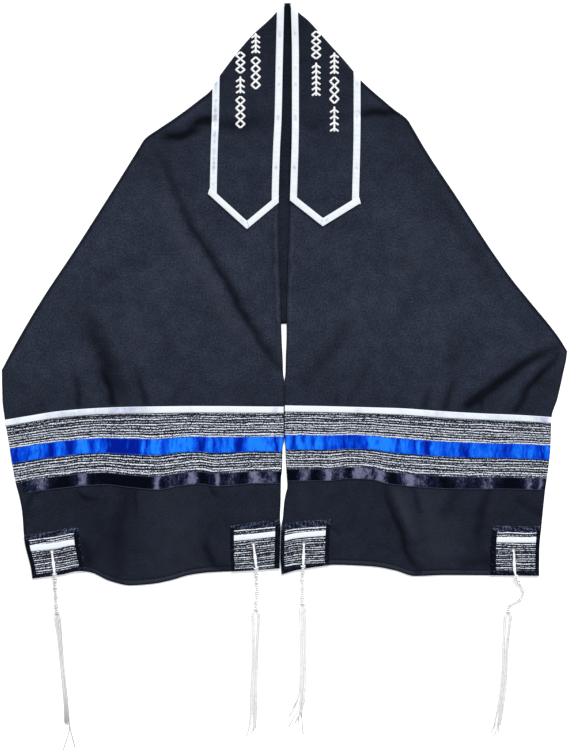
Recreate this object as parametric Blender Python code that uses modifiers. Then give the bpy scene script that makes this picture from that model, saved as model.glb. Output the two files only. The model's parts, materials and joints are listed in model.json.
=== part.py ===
"""Tallit prayer shawl, laid out on a flat surface with its two halves folded forward.

The shawl is one long rectangle. The middle of its upper long edge carries the neckband and lies at
the top. Each half is folded over along a slanting line and comes down the front, so that the upper
long edge forms the two inner edges of the fronts. The back layer lies under both fronts. Near each
hem a striped band crosses the cloth, and each of the four corners has a patch with an eyelet, through
which a knotted tassel is drawn.

Frame: X across, Y up the shawl, Z up from the surface it lies on, origin under the middle of the
cloth. Sizes below are in millimetres. Distances called "out" are measured from the middle line, to
the left on the left half and to the right on the right half.
"""
from collections import namedtuple

import bpy
import numpy as np

MM = 0.001                 # the sizes are in millimetres, Blender's units are metres

# ---- walls and layers
CLOTH = 1.5                # wall of a cloth panel
TRIM = 1.0                 # wall of a ribbon, a patch or the neckband
GAP = 0.3                  # clearance at seams and between layers
ON_CLOTH = GAP             # how far a first trim starts above its panel
ON_TRIM = GAP + TRIM + GAP                # and a second trim, laid on the first

# ---- the rolled edge where a half is folded over the back layer
ROLL_RADIUS = 3.5          # outer radius of the fold
LIP = 5.0                  # cloth past the roll, before the back layer starts
ROLL_FALL = 40.0           # distance from the fold at which the roll has died away
BEVEL = ROLL_RADIUS * (1 - 0.5 ** 0.5)
ROLL_PROFILE = np.array((  # (distance in from the fold, height), from under the edge to the crest
    (ROLL_RADIUS + LIP, 0.0),
    (ROLL_RADIUS, 0.0),
    (BEVEL, BEVEL),
    (0.0, ROLL_RADIUS),
    (BEVEL, 2 * ROLL_RADIUS - BEVEL),
    (ROLL_RADIUS, 2 * ROLL_RADIUS),
))
ROLL_FOOT, ROLL_SIDE = 1, 3               # rows of the profile: where it leaves the floor, its side

# ---- how high each layer lies
NECK_LIFT = ON_TRIM + TRIM                # room under the neck for the neckband and its ribbon
BACK_RISE = (190, 280)                    # heights y over which the back layer rises at the neck
FRONT_RISE = (110, 250)
FRONT_EXTRA_LIFT = 0.5
DROP = (20, 65)                           # distances below the back's hem over which a front drops
LOOSENESS = 2.4                           # how far a front stands off the back between its folds
LOOSE_FROM_EDGE = 45                      # distance from the inner edge over which that sets in
LOOSE_FROM_BAND = 70                      # and distance above the striped band
FOLDS_FROM_BAND = 25

# ---- columns of the fronts, from the inner edge out
NECK_RIBBON = 11                          # width of the ribbon round the neckband
NECKBAND = 110                            # width of the neckband that shows on each front
NECK_LINES = (0, NECK_RIBBON, 32, 51, 75, NECKBAND - NECK_RIBBON, NECKBAND)
WIDTH_AT_NECKBAND = 443
PANEL_SHARES = (0.333, 0.422, 0.486, 0.56, 0.63, 0.705, 0.785, 0.867, 0.933, 0.973, 1.0)
FRONT_COLUMNS = np.array([line / WIDTH_AT_NECKBAND for line in NECK_LINES] + list(PANEL_SHARES))
NECKBAND_EDGE = len(NECK_LINES) - 1
UPPER_ROWS = 8                            # from the fold to the neckband's pointed end
LOWER_ROWS = 9                            # from there to the striped band
CREST_CROWDING = 1.3                      # sets the upper rows closer together near the fold
POINT_RIBBON = NECK_RIBBON / np.cos(np.radians(41))     # the ribbon's depth along its pointed end
BACK_ROWS = 7
STRIP_INSET = 1.1                         # from a front's inner edge to the strip of the back between them

# ---- striped band, down from the upper edge of the white ribbon
WHITE, UPPER_GREY, BLUE, LOWER_GREY, BLACK = 10, 38, 24, 31, 20
BAND_LINES = np.cumsum((0, WHITE, UPPER_GREY, BLUE, LOWER_GREY, BLACK))
WHITE_TOP, WHITE_LOW, BLUE_TOP, BLUE_LOW, BLACK_TOP, BLACK_LOW = BAND_LINES / BAND_LINES[-1]
UPPER_SEAM = (WHITE_TOP + WHITE_LOW) / 2  # the grey band is sewn on under the middle of each ribbon
LOWER_SEAM = (BLACK_TOP + BLACK_LOW) / 2

# ---- corner patches, measured up from the hem
PATCH_BORDER_LOW = 6
PATCH_BORDER_TOP = 12
STRIP_DROP = 9                            # from the top of the grey patch down to its white strip
STRIP_DEPTH = 9
EYELET = 6                                # side of the eyelet
EYELET_SHARE = 0.55                       # share of the patch's height at which the eyelet lies
HEM_WIDTH = 400
COLUMN_CLEARANCE = 0.012                  # a front column this near a patch gives way to its lines

# ---- tassels
CORD_RADIUS = 2.0
CORD_RISE = ((0.0, 2.6), (0.8, 5.2), (3.5, 6.4), (10.0, 6.6))   # (way from the eyelet, height)
CORD_FALL = 20                            # way past the hem at which the cord is down on the floor
CORD_STEP = 9                             # way between the cord's points after that
STRANDS_STEP = 24
STRANDS_GAP = 0.7                         # between the ends of the knots and of the strands
STRANDS_HALF_WIDTH = 5.0
STRANDS_FLATNESS = 0.4                    # height of the loose strands against their width

Fold = namedtuple("Fold", "height half_width path")
Patch = namedtuple("Patch", "name start grey_start eyelet grey_end end height")
Tassel = namedtuple("Tassel", "patch knots strands")
Half = namedtuple("Half", "name side fold inner_edge outer_edge back_hem band_top band_low hem "
                          "point patches folds tassels")

LEFT = Half(
    name="left",
    side=-1,
    fold=(                 # (out, y) along the fold, from the neck to the widest place
        (0.5, 464.6), (11, 450), (56, 406), (104, 345), (117, 325), (135, 310), (178, 278),
        (202, 262), (224, 246), (234, 230), (284, 150), (335, 70), (388, -10), (426, -74),
        (452.2, -122)),
    inner_edge=(           # (y, out) down the inner edge
        (465, 0.5), (452, 0.8), (374, 2.7), (278, 4.8), (230, 7.2), (142, 9.4), (-46, 5.6),
        (-142, 1.6), (-186, 0.4), (-234, 0.4), (-258, 4), (-367, 6.4)),
    outer_edge=(           # (y, out) down the outer edge, below the widest place
        (-122, 452.2), (-170, 451), (-202, 447), (-250, 439), (-298, 431), (-330, 423),
        (-346, 420), (-394, 416), (-442, 405), (-456, 403)),
    back_hem=((0, -46), (452, -127)),
    band_top=(             # (out, y) along the upper edge of the white ribbon
        (0, -181), (135, -180), (231, -181), (295, -183), (359, -188), (417, -197), (447, -202)),
    band_low=(             # (out, y) along the lower edge of the black ribbon
        (0, -304), (39, -304), (111, -308.5), (135, -305), (167, -308), (202, -314), (252, -310),
        (287, -306), (322, -308), (359, -312), (391, -316), (430, -322)),
    hem=(                  # (out, y)
        (0, -439), (71, -444), (119, -446), (151, -450), (183, -459), (215, -465), (247, -467),
        (279, -460), (311, -446), (327, -444), (359, -450), (403, -456)),
    point=((9.4, 145), (60, 102.6), (122, 158.6)),      # (out, y) along the neckband's pointed end
    patches=(
        Patch("inner", 0, 0.021, 0.105, 0.185, 0.205, 66),
        Patch("outer", 0.785, 0.805, 0.9, 0.982, 1, 58)),
    folds=(
        Fold(-2.2, 16, ((199, 217), (170, 161), (135, 82), (111, 46), (82, 6), (55, -46), (20, -122))),
        Fold(1.4, 24, ((235, 190), (205, 120), (165, 50), (120, -20), (85, -90))),
        Fold(-1.8, 10, ((198, 244), (151, 262))),
        Fold(1.8, 14, ((303, -82), (290, -130), (268, -165)))),
    tassels=(              # (out, y) of the knotted part below the eyelet, then of the loose strands
        Tassel("inner", ((45, -442), (44, -470), (45.6, -506)),
               ((47, -586), (49.6, -650), (51, -697), (53, -710))),
        Tassel("outer", ((367, -454), (366, -484), (364, -512)),
               ((356, -586), (350, -650), (347, -689), (345, -730)))),
)

RIGHT = Half(
    name="right",
    side=1,
    fold=(
        (9.9, 464.6), (19, 451), (37, 435.5), (65, 404.5), (94, 372.5), (119, 343.5), (138, 325.5),
        (156, 310), (175, 294), (196, 278), (206, 262), (225, 230), (278, 150), (330, 70),
        (364, 22), (390, -10), (441, -74), (452.2, -92)),
    inner_edge=(
        (465, 9.9), (452, 10.4), (374, 12), (278, 12), (150, 8.8), (-46, 4), (-142, 1.6),
        (-186, 0.6), (-234, 0.6), (-258, 3.7), (-310, 4.6), (-367, -4), (-449, -3.2)),
    outer_edge=(
        (-92, 452.2), (-106, 450.5), (-122, 447), (-170, 436), (-196, 427.5), (-250, 425),
        (-282, 421.6), (-314, 417), (-362, 412), (-410, 407.5), (-452, 407)),
    back_hem=((0, -46), (452, -97)),
    band_top=(
        (0, -179), (57, -180), (121, -181.6), (185, -183.5), (249, -188), (313, -191.7),
        (377, -194.4), (426, -197.6)),
    band_low=(
        (0, -300.3), (65, -300), (105, -296.5), (140, -298), (161, -303.7), (185, -307),
        (217, -310), (281, -313), (345, -313), (417, -314.7)),
    hem=(
        (-3, -449), (17, -443), (49, -437.6), (81, -434), (113, -435), (145, -437), (177, -443),
        (209, -452), (257, -450.4), (407, -451.5)),
    point=((8.8, 148.5), (61, 107), (119, 142.7)),
    patches=(
        Patch("inner", 0, 0.015, 0.09, 0.172, 0.188, 61),
        Patch("outer", 0.811, 0.833, 0.9, 0.985, 1, 63)),
    folds=(
        Fold(-1.8, 10, ((122, 286), (172, 286))),
        Fold(1.4, 26, ((250, 150), (200, 60), (160, -40))),
        Fold(2.0, 14, ((404, -89), (359, -119), (324, -153))),
        Fold(1.8, 12, ((268, -110), (262, -168)))),
    tassels=(
        Tassel("inner", ((29.5, -446), (29, -470), (28.8, -497)),
               ((29.6, -586), (26.4, -650), (21.6, -682), (18.4, -706))),
        Tassel("outer", ((370, -454), (382, -479), (374, -491), (359, -500), (358, -510)),
               ((354.4, -554), (352.8, -594), (349.6, -634), (343, -674), (336, -708)))),
)

# ---- finishes: name, colour (R, G, B), roughness
FINISHES = {
    "black_cloth": ((0.018, 0.020, 0.028), 0.85),
    "grey_weave": ((0.22, 0.22, 0.23), 0.9),
    "white_satin": ((0.85, 0.86, 0.92), 0.4),
    "blue_satin": ((0.01, 0.09, 0.75), 0.35),
    "black_satin": ((0.012, 0.013, 0.022), 0.35),
    "navy_satin": ((0.010, 0.014, 0.050), 0.4),
    "white_cord": ((0.86, 0.86, 0.86), 0.8),
}


# ---- reading the tables

def between(table, at):
    """Reads a table of (at, value) rows, straight between its rows."""
    rows = np.array(sorted(table), dtype=float)
    return np.interp(at, rows[:, 0], rows[:, 1])


def smooth(share):
    """Rises softly from 0 to 1 as share does, and stays there."""
    share = np.clip(share, 0, 1)
    return share * share * (3 - 2 * share)


def out_at(half, column, y):
    """How far out a column of a half lies at the height y."""
    inner = between(half.inner_edge, y)
    outer = between(half.outer_edge, y)
    return inner + column * (outer - inner)


def height_on(half, table, columns):
    """Heights at which the columns cross a line that is given by its (out, y) table."""
    y = np.full(len(columns), np.mean([row[1] for row in table]))
    for _ in range(8):     # a column leans a little, so its crossing is found in a few steps
        y = between(table, out_at(half, columns, y))
    return y


def band_line(half, share, columns):
    """Heights of a line of the striped band, straight between the columns of the fronts."""
    top = height_on(half, half.band_top, FRONT_COLUMNS)
    low = height_on(half, half.band_low, FRONT_COLUMNS)
    return np.interp(columns, FRONT_COLUMNS, top + share * (low - top))


# ---- surfaces: an array of rows of points (x, y, z), a column of it for each column of the cloth

def surface(half, columns, heights, tops):
    """Points of a half at each row's heights y and tops z."""
    heights = np.array(heights)
    tops = np.broadcast_to(tops, heights.shape)
    return np.stack((half.side * out_at(half, columns, heights), heights, tops), axis=-1)


def moved_out(points, side, distance):
    """The same surface moved out along its normals."""
    down, across = np.gradient(points, axis=0), np.gradient(points, axis=1)
    normals = side * np.cross(down, across)
    normals /= np.linalg.norm(normals, axis=-1, keepdims=True)
    return points + distance * normals


def distance_to(path, out, y):
    """Distance of each point (out, y) from a path of straight pieces."""
    nearest = np.full(np.shape(y), np.inf)
    for (out_a, y_a), (out_b, y_b) in zip(path, path[1:]):
        step_out, step_y = out_b - out_a, y_b - y_a
        along = ((out - out_a) * step_out + (y - y_a) * step_y) / (step_out ** 2 + step_y ** 2)
        along = np.clip(along, 0, 1)
        gap = np.hypot(out - out_a - along * step_out, y - y_a - along * step_y)
        nearest = np.minimum(nearest, gap)
    return nearest


def back_lift(y):
    """How far the back layer is lifted by the neckband that passes under it."""
    return NECK_LIFT * smooth((y - BACK_RISE[0]) / (BACK_RISE[1] - BACK_RISE[0]))


def resting_top(half, columns, y):
    """Top of a front that lies flat on the back layer, or on the floor below the back's hem."""
    lift = (NECK_LIFT + FRONT_EXTRA_LIFT) * smooth((y - FRONT_RISE[0]) / (FRONT_RISE[1] - FRONT_RISE[0]))
    on_back = CLOTH + GAP + CLOTH + lift
    below_hem = between(half.back_hem, out_at(half, columns, y)) - y
    drop = smooth((below_hem - DROP[0]) / (DROP[1] - DROP[0]))
    drop = np.where(columns < 1, drop, 1)
    return on_back + (CLOTH - on_back) * drop


def looseness(half, columns, y):
    """How far the creased cloth of a front stands off what it rests on."""
    out = out_at(half, columns, y)
    above_band = y - band_line(half, WHITE_TOP, columns)
    settled = smooth((out - between(half.inner_edge, y)) / LOOSE_FROM_EDGE)
    settled = settled * smooth(above_band / LOOSE_FROM_BAND)
    stand = LOOSENESS * settled
    for fold in half.folds:
        ridge = np.exp(-(distance_to(fold.path, out, y) / fold.half_width) ** 2)
        stand = stand + fold.height * ridge * smooth(above_band / FOLDS_FROM_BAND)
    return np.maximum(stand, 0)


def front_surface(half):
    """Front of a half, from under its rolled fold to the seam of the striped band.

    Returns the points and the rows at which the ribbon of the neckband's pointed end lies.
    """
    columns = FRONT_COLUMNS
    fold = height_on(half, half.fold, columns)
    run = np.gradient(out_at(half, columns, fold))
    slant = np.abs(run) / np.hypot(run, np.gradient(fold))      # sine of the fold against the columns
    band_top = band_line(half, WHITE_TOP, columns)

    point = height_on(half, half.point, columns)
    edge = NECKBAND_EDGE
    share = (fold[edge] - point[edge]) / (fold[edge] - band_top[edge])
    point[edge + 1:] = (fold + share * (band_top - fold))[edge + 1:]
    crest = fold - ROLL_RADIUS / slant

    heights = [fold - reach / slant for reach, _ in ROLL_PROFILE]
    for row in range(1, UPPER_ROWS + 1):
        part = (row / UPPER_ROWS) ** CREST_CROWDING
        heights.append(crest + part * (point + POINT_RIBBON - crest))
    for row in range(LOWER_ROWS + 1):
        heights.append(point + row / LOWER_ROWS * (band_top - point))
    heights.append(band_line(half, UPPER_SEAM, columns) + GAP / 2)
    heights = np.array(heights)

    flat = resting_top(half, columns, heights)
    tops = flat + looseness(half, columns, heights)
    crest_top = back_lift(fold) + 2 * ROLL_RADIUS
    inward = (fold - heights) * slant
    fall = 1 - smooth((inward - ROLL_RADIUS) / (ROLL_FALL - ROLL_RADIUS))
    tops = tops + (crest_top - tops) * fall
    profile_rows = len(ROLL_PROFILE)
    tops[:profile_rows] = back_lift(fold) + ROLL_PROFILE[:, 1:]
    heights[:ROLL_SIDE, -1] = 2 * fold[-1] - heights[:ROLL_SIDE, -1]
    tops[:, -1] = flat[:, -1]             # beside the widest place the cloth is no longer folded
    point_row = profile_rows + UPPER_ROWS
    return surface(half, columns, heights, tops), (point_row - 1, point_row)


# ---- pieces

def cells_of(points):
    """All the cells of a surface, as an array of truths, one for each gap between its rows and columns."""
    return np.ones((points.shape[0] - 1, points.shape[1] - 1), dtype=bool)


def finish_of(name):
    """The finish with this name, made once for each piece that has it."""
    colour, roughness = FINISHES[name]
    material = bpy.data.materials.new(name)
    material.use_nodes = True
    shader = material.node_tree.nodes["Principled BSDF"]
    shader.inputs["Base Color"].default_value = (*colour, 1)
    shader.inputs["Roughness"].default_value = roughness
    shader.inputs["Metallic"].default_value = 0
    return material


def add_object(name, data, finish):
    """Links a new object with its own material into the shawl's collection."""
    data.materials.append(finish_of(finish))
    piece = bpy.data.objects.new(name, data)
    bpy.data.collections["tallit"].objects.link(piece)
    return piece


def wall(name, points, cells, side, thickness, outward, finish):
    """A closed wall over the chosen cells of a surface, thickened outward or inward."""
    rows, columns = cells.shape
    used, vertices, faces = {}, [], []

    def vertex(row, column):
        if (row, column) not in used:
            used[row, column] = len(vertices)
            vertices.append(tuple(points[row, column] * MM))
        return used[row, column]

    for row in range(rows):
        for column in range(columns):
            if not cells[row, column]:
                continue
            corners = [vertex(row, column), vertex(row + 1, column),
                       vertex(row + 1, column + 1), vertex(row, column + 1)]
            if side < 0:
                faces.append((corners[0], corners[2], corners[1]))
                faces.append((corners[0], corners[3], corners[2]))
            else:
                faces.append((corners[0], corners[1], corners[2]))
                faces.append((corners[0], corners[2], corners[3]))
    mesh = bpy.data.meshes.new(name)
    mesh.from_pydata(vertices, [], faces)
    piece = add_object(name, mesh, finish)
    solidify = piece.modifiers.new("wall", "SOLIDIFY")
    solidify.thickness = thickness * MM
    solidify.offset = 1 if outward else -1
    return piece


def trim(name, points, cells, side, above, finish):
    """A trim that lies on a panel: the panel's own points, moved out."""
    return wall(name, moved_out(points, side, above), cells, side, TRIM, True, finish)


def make_front(half):
    """The plain upper panel of a front, and the stretch of the neckband that is sewn on it."""
    points, (ribbon_top, ribbon_low) = front_surface(half)
    cells = cells_of(points)
    cells[:ROLL_SIDE, -1] = False         # the fold stops short of the widest place
    wall(f"front_panel_{half.name}", points, cells, half.side, CLOTH, False, "black_cloth")

    band = np.zeros_like(cells)
    band[ROLL_FOOT:ribbon_low, :NECKBAND_EDGE] = True
    trim(f"neckband_{half.name}", points, band, half.side, ON_CLOTH, "black_cloth")
    ribbon = band.copy()
    ribbon[:ribbon_top, 1:NECKBAND_EDGE - 1] = False
    trim(f"neckband_ribbon_{half.name}", points, ribbon, half.side, ON_TRIM, "white_satin")
    return points


def hem_columns(half):
    """Columns of the striped band and the end panel: those of the front, and the patches' lines."""
    lines = []
    for patch in half.patches:
        half_eyelet = EYELET / 2 / HEM_WIDTH
        lines += [patch.start, patch.grey_start, patch.eyelet - half_eyelet,
                  patch.eyelet + half_eyelet, patch.grey_end, patch.end]
    kept = [column for column in FRONT_COLUMNS
            if not any(patch.start - COLUMN_CLEARANCE < column < patch.end + COLUMN_CLEARANCE
                       for patch in half.patches)]
    return np.array(sorted(kept + lines))


def make_band(half):
    """The grey woven band and the three ribbons that cross each half."""
    columns = hem_columns(half)
    low_seam = band_line(half, LOWER_SEAM, columns)
    grey_rows = [band_line(half, UPPER_SEAM, columns) - GAP / 2]
    grey_rows += [band_line(half, share, columns) for share in (WHITE_LOW, BLUE_TOP, BLUE_LOW, BLACK_TOP)]
    grey_rows.append(low_seam + GAP / 2)
    grey = surface(half, columns, grey_rows, CLOTH)
    wall(f"grey_band_{half.name}", grey, cells_of(grey), half.side, CLOTH, False, "grey_weave")

    ribbons = (("white", WHITE_TOP, WHITE_LOW), ("blue", BLUE_TOP, BLUE_LOW),
               ("black", BLACK_TOP, BLACK_LOW))
    for colour, top, low in ribbons:
        edges = [band_line(half, top, columns), band_line(half, low, columns)]
        ribbon = surface(half, columns, edges, CLOTH)
        cells = cells_of(ribbon)
        if colour == "black":
            cells[:, -1] = False          # it stops short of the outer edge
        trim(f"{colour}_ribbon_{half.name}", ribbon, cells, half.side, ON_CLOTH, f"{colour}_satin")


def end_surface(half, columns):
    """The plain end panel, with a row at each line of the corner patches."""
    hem = height_on(half, half.hem, columns)
    inner, outer = half.patches
    tall = inner.height + columns * (outer.height - inner.height)
    seam = band_line(half, LOWER_SEAM, columns) - GAP / 2
    ribbon_low = band_line(half, BLACK_LOW, columns)
    grey_top = hem + PATCH_BORDER_LOW + tall
    border_top = grey_top + PATCH_BORDER_TOP
    eyelet = hem + PATCH_BORDER_LOW + EYELET_SHARE * tall
    heights = (seam, ribbon_low, (ribbon_low + border_top) / 2, border_top, grey_top,
               grey_top - STRIP_DROP, grey_top - STRIP_DROP - STRIP_DEPTH,
               eyelet + EYELET / 2, eyelet - EYELET / 2, hem + PATCH_BORDER_LOW, hem)
    return surface(half, columns, heights, CLOTH)


BORDER_ROW, GREY_ROW, STRIP_ROW, STRIP_END_ROW, EYELET_ROW, LOW_BORDER_ROW, HEM_ROW = 3, 4, 5, 6, 7, 9, 10


def make_end(half):
    """The end panel, its two corner patches and their tassels."""
    columns = hem_columns(half)
    points = end_surface(half, columns)
    cells = cells_of(points)
    blocks = {}
    for patch in half.patches:
        start, grey_start, grey_end, end = (
            int(np.argmin(abs(columns - line)))
            for line in (patch.start, patch.grey_start, patch.grey_end, patch.end))
        eyelet = int(np.searchsorted(columns, patch.eyelet)) - 1
        cells[EYELET_ROW, eyelet] = False
        blocks[patch.name] = (start, grey_start, eyelet, grey_end, end)
    wall(f"end_panel_{half.name}", points, cells, half.side, CLOTH, False, "black_cloth")

    for place, (start, grey_start, eyelet, grey_end, end) in blocks.items():
        name = f"{half.name}_{place}"
        patch = np.zeros_like(cells)
        patch[BORDER_ROW:, start:end] = True
        patch[EYELET_ROW, eyelet] = False
        trim(f"corner_patch_{name}", points, patch, half.side, ON_CLOTH, "grey_weave")
        border = patch.copy()
        border[GREY_ROW:LOW_BORDER_ROW, grey_start:grey_end] = False
        trim(f"patch_border_{name}", points, border, half.side, ON_TRIM, "navy_satin")
        strip = points[STRIP_ROW:STRIP_END_ROW + 1, grey_start:grey_end + 1].copy()
        strip[:, 0, 0] += half.side * GAP
        strip[:, -1, 0] -= half.side * GAP
        trim(f"patch_strip_{name}", strip, cells_of(strip), half.side, ON_TRIM, "white_satin")

    for tassel in half.tassels:
        eyelet = blocks[tassel.patch][2]
        centre = points[EYELET_ROW:EYELET_ROW + 2, eyelet:eyelet + 2, :2].mean(axis=(0, 1))
        hem = points[HEM_ROW, eyelet, 1]
        make_tassel(half, tassel, centre, hem)


def make_back():
    """The layer that passes behind both fronts, and the neckband's stretch under it."""
    edges, neck_edges, neck_corners = [], [], []      # (x, top edge) of each half's columns
    for half in (LEFT, RIGHT):
        columns = FRONT_COLUMNS[:-1]
        fold = height_on(half, half.fold, FRONT_COLUMNS)
        out = out_at(half, FRONT_COLUMNS, fold)
        slant = np.abs(np.gradient(out)) / np.hypot(np.gradient(out), np.gradient(fold))
        lip_end = (fold - (ROLL_RADIUS + LIP + GAP) / slant)[:-1]
        foot = (fold - (ROLL_RADIUS + GAP) / slant)[:-1]
        edges.append(list(zip(half.side * out_at(half, columns, lip_end), lip_end)))
        neck_edge = list(zip(half.side * out_at(half, columns, foot), foot))
        neck_edges.append(neck_edge[:NECKBAND_EDGE])
        neck_corners.append(neck_edge[NECKBAND_EDGE])
    left_out, right_out = LEFT.fold[0][0], RIGHT.fold[0][0]
    strip = (STRIP_INSET - left_out, right_out - STRIP_INSET)     # the back shows here

    def with_strip(left, right):
        """Columns from left to right, with the strip's two edges between the halves."""
        row = left[::-1] + [(strip[0], left[0][1]), (strip[1], right[0][1])] + right
        return np.array(row)

    row = with_strip(*edges)
    x, top = row[:, 0], row[:, 1]
    slopes = np.where(x < 0, between(LEFT.back_hem, -x), between(RIGHT.back_hem, x))
    neck_top = np.full_like(x, LEFT.fold[0][1])
    heights = [neck_top] + [top + part * (slopes - top) for part in np.linspace(0, 1, BACK_ROWS + 1)]
    heights = np.array(heights)
    points = np.stack((np.broadcast_to(x, heights.shape), heights, CLOTH + back_lift(heights)), axis=-1)
    points[0, :, 2] = CLOTH + NECK_LIFT
    cells = cells_of(points)
    strip_column = len(edges[0])
    cells[0] = False
    cells[0, strip_column] = True
    wall("back_panel", points, cells, 1, CLOTH, False, "black_cloth")

    row = with_strip(*neck_edges)
    x, top = row[:, 0], row[:, 1]
    (left_x, left_y), (right_x, right_y) = neck_corners
    low = np.interp(x, (left_x, sum(strip) / 2, right_x),
                    (left_y, LEFT.fold[0][1] - NECKBAND, right_y - NECK_RIBBON / 2))
    neck_top = np.full_like(x, LEFT.fold[0][1])
    ribbon_top = np.minimum(low + NECK_RIBBON, top)
    heights = np.array((neck_top, top, low))
    points = np.stack((np.broadcast_to(x, heights.shape), heights,
                       np.full(heights.shape, TRIM + GAP + TRIM)), axis=-1)
    cells = cells_of(points)
    cells[0] = False
    cells[0, len(neck_edges[0])] = True
    wall("neckband_back", points, cells, 1, TRIM, False, "black_cloth")
    heights = np.array((ribbon_top, low))
    points = np.stack((np.broadcast_to(x, heights.shape), heights, np.full(heights.shape, TRIM)), axis=-1)
    wall("neckband_ribbon_back", points, cells_of(points), 1, TRIM, False, "white_satin")


def way_along(path):
    """The way along a path to each of its points."""
    return np.concatenate(([0], np.cumsum(np.linalg.norm(np.diff(path, axis=0), axis=1))))


def through(path, first_ways, step):
    """Points along a smooth curve through the path's points: at the first ways, then evenly."""
    path = np.array(path, dtype=float)
    way = way_along(path)
    slopes = np.gradient(path, way, axis=0)
    even = np.linspace(first_ways[-1], way[-1], int((way[-1] - first_ways[-1]) / step) + 2)
    at = np.concatenate((first_ways[:-1], even))
    piece = np.clip(np.searchsorted(way, at, side="right") - 1, 0, len(way) - 2)
    span = (way[piece + 1] - way[piece])[:, None]
    t = ((at - way[piece]) / span[:, 0])[:, None]
    return ((2 * t ** 3 - 3 * t ** 2 + 1) * path[piece] + (t ** 3 - 2 * t ** 2 + t) * span * slopes[piece]
            + (3 * t ** 2 - 2 * t ** 3) * path[piece + 1] + (t ** 3 - t ** 2) * span * slopes[piece + 1])


def cord(name, path, radii, finish):
    """A round cord along a path, with closed ends."""
    curve = bpy.data.curves.new(name, "CURVE")
    curve.dimensions = "3D"
    curve.bevel_depth = MM
    curve.bevel_resolution = 2
    curve.use_fill_caps = True
    line = curve.splines.new("POLY")
    line.points.add(len(path) - 1)
    for point, place, radius in zip(line.points, path, radii):
        point.co = (*(np.array(place) * MM), 1)
        point.radius = radius
    return add_object(name, curve, finish)


def make_tassel(half, tassel, eyelet, hem):
    """A tassel: the knotted part, from the eyelet over the hem, and the loose strands below it."""
    plan = [eyelet] + [(half.side * out, y) for out, y in tassel.knots]
    plan = through(plan, [way for way, _ in CORD_RISE], CORD_STEP)
    past_hem = hem - plan[:, 1]
    high = between(CORD_RISE, way_along(plan))
    height = high + (CORD_RADIUS - high) * smooth(past_hem / CORD_FALL)
    name = f"{half.name}_{tassel.patch}"
    route = np.column_stack((plan, height))
    cord(f"tassel_knots_{name}", route, [CORD_RADIUS] * len(route), "white_cord")

    onward = plan[-1] - plan[-2]
    start = plan[-1] + STRANDS_GAP * onward / np.linalg.norm(onward)
    plan = [start] + [(half.side * out, y) for out, y in tassel.strands]
    plan = through(plan, [0], STRANDS_STEP)
    route = np.column_stack((plan, np.zeros(len(plan))))
    strands = cord(f"tassel_strands_{name}", route, [STRANDS_HALF_WIDTH] * len(route), "white_cord")
    strands.scale.z = STRANDS_FLATNESS
    strands.location.z = STRANDS_HALF_WIDTH * STRANDS_FLATNESS * MM


def main():
    for old in list(bpy.data.objects):
        bpy.data.objects.remove(old)
    collection = bpy.data.collections.new("tallit")
    bpy.context.scene.collection.children.link(collection)
    make_back()
    for half in (LEFT, RIGHT):
        make_front(half)
        make_band(half)
        make_end(half)


main()
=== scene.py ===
"""Looks of the tallit prayer shawl: its cloth, ribbons, patches, embroidery and tassels.

The shawl lies on a surface, folded forward at the shoulders. Sizes are in millimetres. "Out" is the
distance from the middle line, to the left on the left half and to the right on the right half; y runs
up the shawl. A "column" is a share of a half's width, from its inner edge to its outer edge.
"""

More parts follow.
